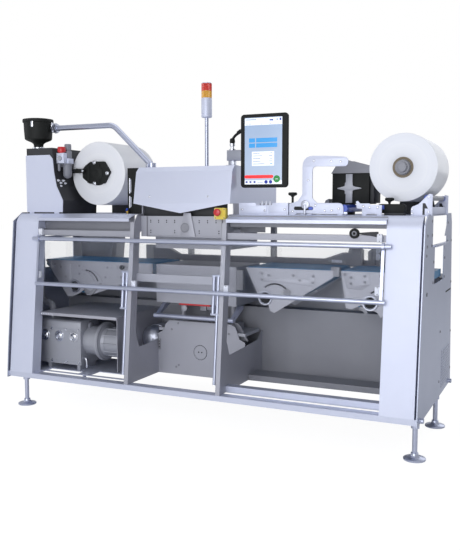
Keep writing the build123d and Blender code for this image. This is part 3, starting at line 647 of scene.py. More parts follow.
class SEALER_OT_screen(bpy.types.Operator):
    """Touch screen with a rounded casing, a generic layout and its clevis"""
    bl_idname = "sealer.screen"
    bl_label = "Screen"

    def execute(self, context):
        corner = (context.scene.sealer_sizes.screen_corner, 8)
        MATERIALS.update(
            ground=lit_display("Display_ground", "#8FA3BE", "#A9B6C9"),
            bar=lit_display("Display_bar", "#DCE4F2", "#EEF2F8"),
            row=lit_display("Display_row", "#3E92D0", "#3E92D0"),
            panel=lit_display("Display_panel", "#EEF1F4", "#E2E7EC"),
            stop=lit_display("Display_stop", "#F0383A", "#F0383A"),
            go=lit_display("Display_go", "#1F7A34", "#1F7A34"),
            ink=lit_display("Display_ink", "#27348C", "#27348C"),
            line=lit_display("Display_line", "#8C98AC", "#8C98AC"),
        )
        (x0, _, z0), (x1, _, z1) = stations("screen")
        parts = [
            box("black", (x0, 280, z0), (x1, 302, z1), 5, corner, 3),
            box("black", (x0 + 30, 300, z0 + 34), (x1 - 30, 328, z1 - 34), 8, corner, 3),
            box("shadow", (x0 + 26, 279, z0 + 24), (x1 - 36, 281, z1 - 16), 0.8),
        ]
        back = block((x0 + 50, 327, z0 + 60), (x1 - 50, 330, z1 - 60))
        parts.append(dress(soften(inset_face(back, BACK, 18, 6), 1.5), "black"))
        parts += [box("machined", (1822, 326, z), (1862, 378, z + 13), 1, (12, 5, UP)) for z in (1685.5, 1770.3)]

        # Areas as (x0, z0, x1, z1) and discs as (x, z, radius), each with its colour and its height over the glass
        fields = [(1713, 1541, 1963, 1952, "ground", 0), (1713, 1918, 1963, 1950, "bar", 0.3),
                  (1713, 1906, 1963, 1917, "panel", 0.3), (1713, 1541, 1963, 1566, "panel", 0.3)]
        fields += [(a, z, b, z + 26, "row", 0.3) for z in (1800, 1768) for a, b in ((1742, 1783), (1790, 1931))]
        fields += [(1762, 1655, 1911, 1743, "panel", 0.3)]
        for step, length in enumerate((46, 62, 50, 52, 78)):
            z = 1731 - step * 16.5
            fields += [(1770, z, 1770 + length, z + 4, "line", 0.6),
                       (1884 - (step % 2) * 8, z, 1900, z + 4, "line" if step < 4 else "row", 0.6)]
        fields += [(1722, 1578, 1896, 1598, "stop", 0.3), (1722, 1588, 10, "stop", 0.3), (1896, 1588, 10, "stop", 0.3),
                   (1929, 1573, 22, "go", 0.6), (1921, 1571, 1937, 1574, "panel", 1.0)]
        fields += [(x, 1555, 11, "ink", 0.6) for x in (1858, 1888)]
        fields += [(x, 1550, x + 13, 1561, "ink", 0.6) for x in (1720, 1746, 1774)]
        fields += [(1800, 1551, 1838, 1554, "line", 0.6), (1722, 1938, 1790, 1942, "line", 0.6),
                   (1880, 1930, 1904, 1938, "ink", 0.6), (1926, 1930, 1934, 1941, "line", 0.6),
                   (1946, 1930, 1957, 1944, "ink", 0.6)]
        fields += [(x, 1910, x + 12, 1913, "line", 0.6) for x in (1722, 1742, 1820, 1880, 1930)]
        glass, thickness = 279, 0.3
        for *shape, colour, lift in fields:
            y = glass - lift
            if len(shape) == 3:
                x, z, radius = shape
                parts.append(rod(colour, (x, y, z), (x, y - thickness, z), radius, 32))
            else:
                piece = block((shape[0], y - thickness, shape[1]), (shape[2], y, shape[3]))
                parts.append(dress(inset_face(piece, FORWARD, 0.3, -0.1), colour))
        hand_in("Touch_screen", parts, "screen_head", "screen")
        return {"FINISHED"}


class SEALER_OT_beacon(bpy.types.Operator):
    """Signal lamp with ribbed lenses on its mast"""
    bl_idname = "sealer.beacon"
    bl_label = "Beacon"

    def execute(self, context):
        x, y = 1335, 500
        centre = at(x, y, 0)
        parts = [
            turned("upright", (x, y, 1660), UP, [(30, 0), (30, 4), (20, 6), (16, 14), (13, 16), (13, 338)], 32),
            turned("pale", (x, y, 1996), UP, [(14, 0), (31, 2), (35, 5), (36, 8), (36, 22), (34.5, 23), (34.5, 26),
                                              (36, 27), (36, 128), (35, 131)]),
        ]

        def every_other(middle, direction):
            """True for one in two of the lens's upright edges."""
            turn = math.degrees(math.atan2(middle.y - centre.y, middle.x - centre.x))
            return abs(direction.z) > 0.9 and round(turn / 3.75) % 2

        for low, high, material in ((2127, 2173, "amber"), (2173, 2222, "red_lens")):
            lens = rod(material, (x, y, low), (x, y, high), 35, 96)
            open_selected(lens, False, every_other)
            bpy.ops.transform.resize(value=(0.95, 0.95, 1), center_override=(centre.x, centre.y, low / 1000))
            bpy.ops.object.mode_set(mode="OBJECT")
            parts += [lens, turned(material, (x, y, high - 3), UP, [(34, 0), (35.6, 0.4), (35.6, 3), (34, 3.4)])]
        parts.append(turned("pale", (x, y, 2220), UP, [(33, 0), (33, 5), (30, 8), (18, 9.5), (2, 10)]))
        hand_in("Signal_beacon", parts, "machine", "beacon")
        return {"FINISHED"}


class SEALER_OT_stop(bpy.types.Operator):
    """Emergency stop: yellow shell with a mushroom button"""
    bl_idname = "sealer.stop"
    bl_label = "Emergency stop"

    def execute(self, context):
        (x0, y, z0), (x1, _, z1) = stations("stop_box")
        shell = round_edges(block((x0, y, z0), (x1, y + 38, z1)), 8, 4)
        low, high = stations("stop_button")
        bx, bz = (low[0] + high[0]) / 2, (low[2] + high[2]) / 2
        parts = [dress(soften(inset_face(shell, FORWARD, 5, -2), 1.5), "yellow"),
                 turned("yellow", (bx, y + 2, bz), FORWARD, [(26, 0), (26, 5), (22, 7), (12, 8)], 40)]
        parts += [turned("grey", (x, y + 1.6, z), FORWARD, [(4, 0), (4, 1.5), (1.5, 2), (1, 1)], 12)
                  for x in (x0 + 9, x1 - 9) for z in (z0 + 9, z1 - 9)]
        hand_in("Stop_housing", parts, "machine", "stop_box")
        button = turned("red", (bx, y + 14, bz), FORWARD, [
            (10, 0), (10, 18), (14, 21), (20, 23), (23, 27), (23.5, 31), (21, 36), (14, 39), (5, 40.5), (0.5, 41)])
        hand_in("Stop_mushroom", [button], "stop_button", "stop_button")
        return {"FINISHED"}


class SEALER_OT_film_reel(bpy.types.Operator):
    """Film roll with its board core and chuck"""
    bl_idname = "sealer.film_reel"
    bl_label = "Film reel"

    def execute(self, context):
        x, z = FILM_REEL
        roll = turned("film_right", (x, 360, z), BACK, [
            (61, 1.5), (61, 0.5), (62, 0), (196, 0), (198, 0.6), (199, 2), (199, 210), (198.9, 418), (198, 419.4),
            (196, 420), (62, 420), (61, 419)], 128)
        hand_in("Film_roll", [roll], "film_reel", "film_roll")
        core = turned("board", (x, 358, z), BACK, [(46, 6), (46, 0), (59.5, 0), (60.5, 1), (60.5, 420), (46, 422)], 64)
        chuck = turned("dark_steel", (x, 372, z), FORWARD, [
            (46, 0), (45, 12), (44, 14), (38, 14), (38, 22), (42, 24), (42, 38), (40, 41), (31, 42), (30, 44),
            (30, 66), (28, 69), (20, 70), (19, 67), (1, 67)])
        shaft = turned("upright", (x, 779, z), BACK, [(24, 0), (24, 20.5), (20, 20.6)], 32)
        hand_in("Film_core_and_chuck", [core, chuck, shaft], "film_reel", "film_core_shaft")
        return {"FINISHED"}


class SEALER_OT_used_reel(bpy.types.Operator):
    """Reel for the used film with its black hub plate"""
    bl_idname = "sealer.used_reel"
    bl_label = "Used film reel"

    def execute(self, context):
        x, z = USED_REEL
        roll = turned("film_left", (x, 360, z), BACK, [
            (30, 1), (40, 0), (218, 0), (220.5, 1), (222, 3), (222, 417), (220.5, 419), (218, 420), (40, 420),
            (24, 420), (24, 439), (20, 439.6)], 128)
        hand_in("Used_film", [roll], "used_reel", "used_film_reel")
        corners = [(x + a, z + b) for a, b in (
            (-120, -30), (-120, 30), (-96, 56), (-52, 82), (62, 82), (112, 8), (62, -72), (-62, -72))]
        plate = sheet("black", rounded(14, *corners), 20, 338)
        soften(plate, 4, 3)
        boss = turned("black", (x - 8, 339, z), FORWARD,
                      [(62, 0), (60, 4), (44, 5), (40, 7), (24, 8), (20, 5), (2, 5)])
        ribs = [box("black", (x + a - 8, 332, z - 66), (x + a + 8, 340, z + 66), 3) for a in (-70, 20)]
        screws = [turned("chrome", (x + a, 339, z + b), FORWARD,
                         [(13, 0), (13, 3), (10, 4), (7, 4), (7, 7), (5, 8), (1, 8)], 24)
                  for a, b in ((-20, 76), (-20, -70), (88, 0))]
        cone = turned("black", (x, 362, z), FORWARD, [(86, 0), (82, 4), (60, 22)], 40)
        hand_in("Reel_hub_plate", [plate, boss, *ribs, *screws, cone], "used_reel", "reel_hub")
        return {"FINISHED"}


class SEALER_OT_canister(bpy.types.Operator):
    """Filter canister with lid, latches, funnel neck and clamp, and the flanges of its pipe"""
    bl_idname = "sealer.canister"
    bl_label = "Filter canister"

    def execute(self, context):
        x, y, foot = 82, 290, 1812
        base = at(x, y, 0)
        parts = [
            turned("black", (x, y, foot), UP, [
                (26, 4), (33, 6), (34, 30), (37, 38), (50, 48), (84, 62), (93, 68), (96, 76), (99, 120), (102, 186),
                (107, 188), (109, 192), (109, 204), (107, 211), (90, 214), (86, 212), (30, 212.5), (1, 213)], 64),
            turned("chrome", (x, y, foot), UP, [(30, 0), (38, 1), (43, 5), (43, 12), (38, 16), (32, 17)], 40),
            box("chrome", (x + 40, y - 32, foot + 2), (x + 62, y - 22, foot + 14), 2),
        ]
        for turn in (-75, 15, 105, 195):
            latch = box("chrome", (x - 9, y - 3, 1962), (x + 9, y + 3, 2006), 1, (6, 4))
            out = Vector((*around(0, 0, 0.1045, turn), 0))
            latch.data.transform(Matrix.Translation(base + out) @ Matrix.Rotation(math.radians(turn + 90), 4, "Z")
                                 @ Matrix.Translation(-base))
            parts.append(latch)
        hand_in("Filter_canister_body", parts, "machine", "filter_canister")
        y, z = SUCTION_PIPE
        parts = [turned("tube", (160, y, z), RIGHT, [(26, 0), (26, 22), (20, 26), (19.4, 92)], 40)]
        parts += [turned("machined", (x - 5, y, z), RIGHT, [(20, 0), (radius, 1), (radius, 9), (20, 10)], 12)
                  for x, radius in ((196, 31), (208, 37), (220, 31))]
        parts += [turned("machined", (208, y - 34, z + 16 * side), (0, 0, side), [(7, 0), (8, 2), (8, 16), (5, 18)], 16)
                  for side in (-1, 1)]
        hand_in("Pipe_flanges", parts)
        return {"FINISHED"}


class SEALER_OT_screws(bpy.types.Operator):
    """Screw heads on the hood, the film path brackets and the sensor housing"""
    bl_idname = "sealer.screws"
    bl_label = "Screws"

    def execute(self, context):
        radius = context.scene.sealer_sizes.screw_radius
        profile = [(radius, 0), (radius, 1.6), (radius * 0.7, 3.2), (radius * 0.45, 3.4), (radius * 0.42, 1.6),
                   (0.3, 1.5)]
        # The hood's front starts at depth 160 over height 1422 and leans back by 40 in 207
        height = 1465
        places = [((x, 160 + (height - 1422) * 40 / 207, height), FORWARD) for x in (1080, 1508)]
        places += [((x, CURVED_FACE, z), FORWARD) for x, z in (
            (2193, 1672), (2299, 1668), (2357, 1664), (2306, 1380), (2263, 1378), (2204, 1410), (2124, 1414),
            (2062, 1374), (2158, 1560), (2348, 1390))]
        places += [((x, HOUSING_FACE, z), FORWARD) for x, z in ((1728, 1385), (1880, 1378), (2010, 1385))]
        places += [((x, LOW_FACE, z), FORWARD) for x, z in ((2492, 1404), (2530, 1398), (2576, 1398))]
        hand_in("Cover_screws", [copies("chrome", profile, 16, places)])
        return {"FINISHED"}


class SEALER_OT_feet(bpy.types.Operator):
    """Levelling feet: flared disc, threaded stem and lock nut"""
    bl_idname = "sealer.feet"
    bl_label = "Levelling feet"

    def execute(self, context):
        top = stations("levelling_feet")[1][2]
        profile = [(61, 0), (62.5, 2), (62.5, 9), (60, 11), (40, 15), (27, 21), (22, 29), (20.5, 40), (14.5, 42),
                   (14.5, top - 26), (23, top - 25), (23, top - 9), (15, top - 8), (15, top)]
        places = [((x, y, 0), UP) for x in (119, END_PLATE - 21) for y in (54, 732)]
        hand_in("Levelling_feet_turned", [copies("tube", profile, 48, places)], replaced="levelling_feet")
        return {"FINISHED"}


class SEALER_OT_conveyors(bpy.types.Operator):
    """Roller bearings, tensioner slots, brackets and bolts on the conveyor side plates"""
    bl_idname = "sealer.conveyors"
    bl_label = "Conveyor gear"

    def execute(self, context):
        face = 400
        parts = []
        for x, z in ((297, 818), (1808, 812), (2497, 816)):
            parts += [turned("machined", (x, face + 1, z), FORWARD,
                             [(49, 0), (49, 8), (47, 11), (39, 11), (36, 8), (36, 2), (1, 2)]),
                      turned("shadow", (x, face - 1.5, z), FORWARD, [(35, 0), (35, 1), (14, 1.2), (1, 1.2)], 32)]
        for x, z, radius, start, end in ((390, 824, 116, 19, 88), (1876, 797, 109, 20, 131), (2560, 800, 96, 80, 128)):
            parts += [sheet("inner_steel", arc_band(x, z, radius, 8, start - 2, end + 2), 1.6, face - 1.4),
                      sheet("shadow", arc_band(x, z, radius, 5, start, end), 1, face - 2.2)]
        brackets = (
            ((360, 838), (376, 846), (398, 800), (436, 786), (520, 852), (536, 846), (450, 762), (392, 770)),
            ((1936, 836), (1976, 838), (1984, 862), (1962, 878), (1934, 872)),
            ((2430, 772), (2452, 764), (2470, 744), (2486, 752), (2470, 786), (2440, 796)),
        )
        parts += [sheet("dark_steel", rounded(8, *points), 6, face - 7, 0.8) for points in brackets]
        covers = (
            ((1760, 985), (1815, 985), (1822, 950), (1856, 942), (2080, 946), (2096, 980), (2140, 984), (2140, 898),
             (1900, 918), (1780, 912)),
            ((150, 985), (262, 985), (262, 866), (196, 842), (150, 930)),
            ((2322, 1000), (2490, 1000), (2496, 930), (2440, 892), (2350, 900)),
        )
        parts += [sheet("inner_steel", rounded(12, *points), 2, face - 2, 0.5) for points in covers]
        parts += [box("dark_steel", (x0, face + 4, z0), (x1, face + 44, z1), 1, (6, 3))
                  for x0, x1, z0, z1 in ((2244, 2300, 968, 1027), (1582, 1645, 852, 985))]
        hand_in("Conveyor_gear", parts)

        places = [((x, face - 1.5, z), FORWARD) for x, z in (
            (174, 956), (215, 887), (339, 969), (338, 911), (584, 965), (566, 893), (1786, 970), (1783, 930),
            (2131, 965), (2129, 925), (2043, 935), (2155, 874), (2337, 985), (2376, 968), (2376, 930), (2462, 979),
            (2462, 942), (2529, 903), (1830, 960), (2000, 965), (700, 900), (120, 975), (2560, 985), (2700, 970))]
        profile = [(9, 0), (9, 1), (6.6, 1.2), (6.6, 4), (5, 4.8), (3, 4.8), (2.8, 2.4), (0.5, 2.4)]
        hand_in("Conveyor_bolts", [copies("dark_steel", profile, 16, places)])
        profile = [(9, 0), (9, 10), (16, 12), (17, 22), (14, 25), (1, 26)]
        knob = copies("black", profile, 24, [((718, face, 972), FORWARD)])
        hand_in("Clamp_knobs", [knob], "machine")
        return {"FINISHED"}


class SEALER_OT_pump(bpy.types.Operator):
    """Pump ports, lid, gauge, motor bell with its bolts and ribs, and the perforated edge of the cover"""
    bl_idname = "sealer.pump"
    bl_label = "Pump details"

    def execute(self, context):
        face, axis_y, axis_z, bell = 199, 330, 445, 596
        parts = []
        for x in (176, 300, 424):
            parts += [turned("chrome", (x, face + 2, 480), FORWARD,
                             [(39, 0), (39, 3), (37, 4.5), (34, 4.5), (32, 2), (1, 2)], 40),
                      turned("chrome", (x, face, 480), FORWARD, [(31, 0), (29, 3), (15, 9), (12, 20), (1, 21)], 6)]
        parts.append(box("cast", (96, 197, 520), (489, 414, 597), 3, (22, 6, RIGHT)))
        parts += [box("cast", (98, 198, z), (487, 203, z + 5), 1) for z in (300, 512)]
        parts += [
            turned("grey", (484, 300, 553), RIGHT, [(14, 0), (14, 10), (26, 12), (26, 26), (23, 28), (1, 29)], 32),
            tube("chrome", [(470, 232, 330), (500, 232, 330), (512, 232, 318), (512, 232, 262)], 9),
            turned("cast", (bell, axis_y, axis_z), RIGHT, [
                (100, 0), (128, 4), (138, 10), (138, 22), (132, 26), (120, 30), (104, 36), (98, 60)], 64),
        ]
        for i in range(10):
            y, z = around(axis_y, axis_z, 99, 36 * i)
            parts.append(rod("cast", (640, y, z), (790, y, z), 5, 12))
        hand_in("Pump_details", parts)
        places = [((bell + 4, *around(axis_y, axis_z, 116, a)), LEFT) for a in range(15, 375, 45)]
        places += [((x, face, z), FORWARD) for x in (116, 238, 362, 468) for z in (532, 300)]
        profile = [(11, 0), (11, 2), (8, 2.2), (8, 9), (6.5, 10), (1, 10)]
        hand_in("Pump_bolts", [copies("chrome", profile, 6, places)])
        hand_in("Cover_skirt", [box("inner_steel", (224, 96, 642), (856, 100, 662), 1)])
        places = [((232 + 15 * i, 95.8, 652), FORWARD) for i in range(7)]
        hand_in("Cover_vents", [copies("white", [(3.4, 0), (3.4, 0.6), (0.4, 0.6)], 8, places)])
        return {"FINISHED"}


class SEALER_OT_hose(bpy.types.Operator):
    """Wire-wound suction duct fixed between the deck and the pump"""
    bl_idname = "sealer.hose"
    bl_label = "Suction duct"

    def execute(self, context):
        y, radius = 300, 26
        centre = [(70, z) for z in range(1336, 760, -14)]
        centre += [around(130, 760, 60, 180 + a) for a in range(0, 91, 13)]
        centre += [around(134, 664, 36, 90 - a) for a in range(10, 91, 16)]
        centre += [(170, z) for z in range(650, 596, -14)]
        sleeve = tube("grey", [(x, y, z) for x, z in [(70, 1348), *centre, (170, 591)]], radius - 3, 6)
        turns = [((x0, y, z0), (x1 - x0, 0, z1 - z0)) for (x0, z0), (x1, z1) in zip(centre, centre[1:])]
        ribs = copies("grey", [(radius - 3, -3), (radius, -1.6), (radius, 1.6), (radius - 3, 3)], 24, turns)
        clips = [turned("chrome", (x, y, z - 9), UP, [(27, 0), (29, 1), (29, 17), (27, 18)], 32)
                 for x, z in ((70, 1322), (170, 600))]
        hand_in("Suction_duct", [sleeve, ribs, *clips], "machine", "vacuum_hose")
        return {"FINISHED"}


class SEALER_OT_lift(bpy.types.Operator):
    """Round cover, edge bolts and hinge of the lift mechanism, the dome of its motor and the gear of the latch"""
    bl_idname = "sealer.lift"
    bl_label = "Lift details"

    def execute(self, context):
        parts = [
            turned("inner_steel", (1326, 411, 407), FORWARD, [(49, 0), (49, 3), (47, 4.5), (44, 4.5), (43, 3), (1, 3)]),
            sheet("shadow", arc_band(1326, 407, 51, 1.6, 0, 359), 1, 409.4),
        ]
        parts += [turned("shadow", (x, 408.4, 409), FORWARD, [(5, 0), (5, 0.8), (1, 0.8)], 16) for x in (1314, 1338)]
        parts.append(box("dark_steel", (998, 403, 406), (1016, 411, 479), 1.5))
        parts += [turned("shadow", (1007, 404, z), FORWARD, [(5, 0), (5, 2), (1, 2.4)], 12) for z in (424, 444, 463)]
        axis = (925, 560, 470)
        dome = turned("machined", axis, FORWARD, [
            (90, -90), (90, 50), (93, 51), (93, 60), (90, 61), (90, 80), (86, 104), (78, 124), (64, 142), (44, 156),
            (20, 163), (2, 164)], 64)
        # The bay's walls cut the dome on both sides
        for station, outer in ((864, False), (986, True)):
            pick(dome)
            bpy.ops.object.mode_set(mode="EDIT")
            bpy.ops.mesh.select_all(action="SELECT")
            bpy.ops.mesh.bisect(plane_co=at(station, *axis[1:]), plane_no=RIGHT, use_fill=True,
                                clear_inner=not outer, clear_outer=outer)
            bpy.ops.object.mode_set(mode="OBJECT")
        gusset = sheet("inner_steel", [(1555, 621), (1588, 614), (1657, 502), (1600, 502)], 8, 470)
        hand_in("Lift_details", [*parts, smooth(dome, 35), gusset])

        under = stations("tool_latch")[0][2]
        parts = [turned("cast", (1196, 416, under - 24), BACK, [(18, 0), (22, 2), (22, 36), (18, 38)], 32),
                 box("dark_steel", (1178, 424, under - 30), (1214, 446, under), 2)]
        parts += [box("dark_steel", (x0, 418, under - drop), (x1, 448, under), 3)
                  for x0, x1, drop in ((1322, 1368, 34), (1372, 1410, 26))]
        hand_in("Latch_gear", parts, "tool_lift")
        places = [((x, 410, z), FORWARD) for x, z in (
            (1155, 598), (1103, 553), (1157, 305), (1137, 291), (1480, 596), (1540, 552), (1500, 300), (1540, 285))]
        profile = [(8, 0), (8, 1), (5.6, 1.2), (5.6, 4), (4, 4.6), (1, 4.6)]
        hand_in("Plate_bolts", [copies("dark_steel", profile, 12, places)])
        return {"FINISHED"}


class SEALER_OT_switches(bpy.types.Operator):
    """Guard switches with rounded shells, an actuator head and two screws each"""
    bl_idname = "sealer.switches"
    bl_label = "Guard switches"

    def execute(self, context):
        parts = []
        for x, z in ((216, 1225), (216, 930), (996, 895), (1664, 895), (2602, 1225), (2602, 930)):
            y = front(z) + 2
            parts += [box("white", (x, y, z - 24), (x + 30, y + 22, z + 24), 1.6, (6, 4)),
                      box("white", (x + 6, y - 1, z - 6), (x + 24, y + 3, z + 16), 1)]
            parts += [turned("grey", (x + 15, y + 0.5, z + lift), FORWARD, [(3.2, 0), (3, 1.2), (0.5, 1.5)], 10)
                      for lift in (-17, 20)]
        hand_in("Guard_switch_shells", parts, "machine", "guard_switches")
        return {"FINISHED"}


class SEALER_OT_air_unit(bpy.types.Operator):
    """Air service unit: red valve knob, grey regulator, blocks, bowls and push-in fittings"""
    bl_idname = "sealer.air_unit"
    bl_label = "Air service unit"

    def execute(self, context):
        parts = [turned(material, base, UP, profile, 32) for material, base, profile in (
            ("red", (318, 248, 1775), [(20, 0), (20, 6), (28, 8), (29, 12), (28, 40), (25, 44), (1, 45)]),
            ("grey", (333, 300, 1792), [(20, 0), (20, 6), (24, 8), (24, 44), (21, 49), (1, 50)]),
            ("grey", (333, 300, 1737), [(26, 0), (27, 3), (27, 52), (25, 55), (20, 55)]),
            ("grey", (326, 300, 1600), [(8, 0), (12, 3), (24, 10), (31, 22), (32, 90), (34, 92), (34, 104), (30, 106)]),
            ("grey", (300, 240, 1650), [(5, 0), (8, 3), (10, 10), (10, 50)]),
        )]
        parts += [box(material, low, high, 3) for material, low, high in (
            ("pale", (288, 226, 1704), (350, 268, 1776)), ("pale", (302, 268, 1704), (360, 328, 1740)),
            ("pale", (286, 240, 1712), (304, 262, 1766)), ("cast", (288, 270, 1680), (300, 320, 1720)),
        )]
        parts += [turned("cast", (319, 227, 1738), FORWARD, [(17, 0), (17, 8), (15, 10), (13, 9), (1, 9)], 32),
                  box("charcoal", (286, 206, 1530), (292, 330, 1610), 1)]
        parts += [turned("white", (293, y, z), RIGHT, [(8, 0), (8, 12), (5, 14), (4, 22), (1, 22)], 16)
                  for y, z in ((226, 1584), (250, 1568), (250, 1546), (280, 1584), (300, 1566))]
        hand_in("Air_unit", parts, replaced="air_service_unit")
        return {"FINISHED"}


class SEALER_OT_screen_arm(bpy.types.Operator):
    """Screen arm: box beam on its post, eye, clamp knob with lever and the plate on the hood"""
    bl_idname = "sealer.screen_arm"
    bl_label = "Screen arm"

    def execute(self, context):
        x, foot = 1842, 1560
        parts = [box("machined", low, high, edge) for low, high, edge in (
            ((x - 312, 400, 1700), (x + 30, 450, 1768), 3), ((x - 302, 405, 1660), (x - 262, 445, 1702), 2),
            ((x - 30, 372, 1710), (x + 30, 402, 1760), 3), ((x - 342, 380, 1656), (x - 222, 470, 1664), 1.5),
            ((x - 316, 396, 1664), (x - 250, 454, 1672), 2),
        )]
        parts += [
            turned("machined", (x, 358, 1700), UP, [(14, 0), (16, 1.5), (16, 68.5), (14, 70)], 32),
            box("machined", (x - 15, 358, 1714), (x + 15, 380, 1756), 2),
            turned("chrome", (foot, 425, 1768), UP,
                   [(22, 0), (22, 8), (12, 10), (12, 26), (18, 28), (18, 44), (10, 48)], 32),
            turned("black", (foot, 425, 1814), UP, [(12, 0), (17, 3), (18, 10), (16, 26), (10, 32), (1, 33)], 24),
            tube("black", [(foot, 425, 1836), (foot + 20, 412, 1856), (foot + 46, 404, 1872), (foot + 74, 396, 1884)],
                 9),
            turned("black", (foot + 46, 404, 1874), (28, -8, 14), [(8, 0), (12, 4), (13, 30), (9, 40), (1, 41)], 20),
        ]
        hand_in("Screen_arm_parts", parts, replaced="screen_arm")
        return {"FINISHED"}


class SEALER_OT_film_path(bpy.types.Operator):
    """Film path gear: curved bracket, low bracket, sensor housing, slots, knobs, hinge and cutter"""
    bl_idname = "sealer.film_path"
    bl_label = "Film path gear"

    def execute(self, context):
        curved = rounded(
            8, (2040, DECK, 2), (2075, DECK, 4), (2090, 1364, 4), (2330, 1364, 6), (2345, DECK, 4), (2376, DECK, 34),
            (2376, 1424, 34), (2215, 1424, 10), (2184, 1450, 34), (2184, 1640, 26), (2400, 1636, 27), (2400, 1690, 27),
            (2330, 1696, 12), (2262, 1700, 30), (2122, 1704, 74), (2122, 1475, 14), (2094, 1436, 8), (2040, 1418, 8))
        low = rounded(
            3, (2485, DECK, 1), (2505, DECK), (2515, 1362), (2566, 1362), (2576, DECK), (2600, DECK, 1),
            (2600, 1412, 4), (2534, 1412, 4), (2528, 1421), (2472, 1421), (2460, 1436, 4), (2448, 1432, 4),
            (2454, 1392), (2485, 1390, 2))
        housing = rounded(
            3, (1704, DECK, 1), (2030, DECK, 1), (2030, 1425), (1930, 1425), (1924, 1411, 4), (1822, 1411, 4),
            (1816, 1425), (1704, 1425))
        parts = [
            sheet("pale", curved, 10, CURVED_FACE, 1),
            sheet("shadow", slot_points(2070, 2192, 1392, 11), 1.2, CURVED_FACE - 0.8),
            sheet("bright_blue", slot_points(2162, 2190, 1392, 9), 1.2, CURVED_FACE - 1.6),
            sheet("pale", low, 5, LOW_FACE, 0.6),
            sheet("pale", housing, 60, HOUSING_FACE + 3, 1.4),
        ]
        parts += [box("pale", (x0, HOUSING_FACE, 1362), (x1, HOUSING_FACE + 4, 1406), 1)
                  for x0, x1 in ((1716, 1890), (1904, 2020))]
        parts += [turned("white", (x, 240, 1410), UP, [(7, 0), (7, 12), (4, 14), (3, 26), (1, 26)], 16)
                  for x in (1850, 1876, 1902)]
        parts += [
            box("machined", (2040, 216, 1356), (2396, 232, 1372), 1.5),
            box("pale", (2110, 214, DECK), (2180, 300, 1360), 1.5),
            turned("machined", (2142, 204, 1414), FORWARD, [(26, 0), (26, 4), (22, 6), (16, 6), (14, 2), (1, 2)], 32),
            box("machined", (2134, 196, 1350), (2146, 204, 1414), 2),
        ]
        for x, y, z, tall in ((2054, 226, 1418, 64), (2625, 300, DECK, 96)):
            parts += [turned("black", (x, y, z), UP, [(7, 0), (7, tall - 22), (10, tall - 20), (10, tall - 14)], 20),
                      turned("black", (x, y, z + tall - 16), UP,
                             [(12, 0), (24, 5), (27, 9), (27, 18), (22, 22), (1, 23)], 12)]
        parts += [
            box("black", (2560, 280, 1364), (2720, 330, 1418), 3, (16, 5)),
            box("bright_blue", (2520, 276, 1386), (2600, 322, 1410), 3),
            box("charcoal", (2600, 274, DECK), (2716, 336, 1366), 2),
        ]
        hand_in("Film_path_gear", parts, replaced="film_path_brackets")
        return {"FINISHED"}


class SEALER_OT_printer(bpy.types.Operator):
    """Printer box: dark housing with a light bar, cross-piece, web frame and rollers on top"""
    bl_idname = "sealer.printer"
    bl_label = "Printer box"

    def execute(self, context):
        wedge = rounded(3, (2150, DECK, 2), (2206, DECK, 2), (2206, 1452), (2184, 1440))
        cross = rounded(
            4, (2268, 1512, 2), (2316, 1502, 10), (2316, 1480, 3), (2364, 1480, 3), (2364, 1502, 10), (2418, 1512, 2),
            (2418, 1516, 2), (2364, 1528, 10), (2364, 1550, 3), (2316, 1550, 3), (2316, 1528, 10), (2268, 1516, 2))
        web = rounded(
            6, (2222, 1605, 2), (2466, 1605, 2), (2500, 1640), (2318, 1690, 14), (2292, 1690, 10), (2252, 1652, 10))
        parts = [
            box("black", (2232, 452, 1418), (2466, 640, 1607), 3),
            box("charcoal", (2466, 470, 1424), (2492, 636, 1600), 3),
            box("black", (2200, 560, DECK), (2330, 638, 1420), 3),
            sheet("grey", wedge, 150, 470),
            box("cast", (2320, 444, 1425), (2362, 453, 1601), 1.5),
            sheet("cast", cross, 8, 440, 1),
        ]
        parts += [sheet("dark_steel", web, 6, y, 1) for y in (456, 628)]
        parts += [turned("chrome", (x, 463, z), BACK,
                         [(radius - 2, 0), (radius, 2), (radius, 162), (radius - 2, 165)], 24)
                  for x, z, radius in ((2300, 1672, 9), (2360, 1630, 13), (2420, 1640, 11), (2256, 1628, 12))]
        hand_in("Printer_housing", parts, "machine", "printer_box")
        return {"FINISHED"}


class SEALER_OT_guide_rollers(bpy.types.Operator):
    """Guide rollers: blue sleeve with a bright end ring on the path, grey roller with blue ends at the plate"""
    bl_idname = "sealer.guide_rollers"
    bl_label = "Guide rollers"

    def execute(self, context):
        (_, y0, _), (_, y1, _) = stations("path_guide_roller")
        x, z, run = 2376, 1392, y1 - y0
        parts = [
            turned("blue", (x, y0, z), BACK,
                   [(10, 0), (19, 0.5), (20, 2), (20, 34), (22, 35), (22, run - 1.5), (20, run)]),
            turned("bright_blue", (x, y0, z), BACK, [(12, -0.1), (21, 0.3), (22, 1.5), (22, 20), (21, 21)]),
        ]
        hand_in("Path_roller_sleeve", parts, "path_roller", "path_guide_roller")
        (_, y0, _), (_, y1, _) = stations("end_guide_roller")
        x, z, run = 2846, 1452, y1 - y0
        parts = [turned("grey", (x, y0, z), BACK, [(9, 0), (14.5, 1), (14.5, run - 1), (9, run)], 40)]
        parts += [turned("bright_blue", (x, y, z), BACK, [(14, 0.2), (16, 1), (16, 32), (14, 33.6)], 40)
                  for y in (y0, y1 - 34)]
        hand_in("End_roller_sleeve", parts, "end_roller", "end_guide_roller")
        return {"FINISHED"}


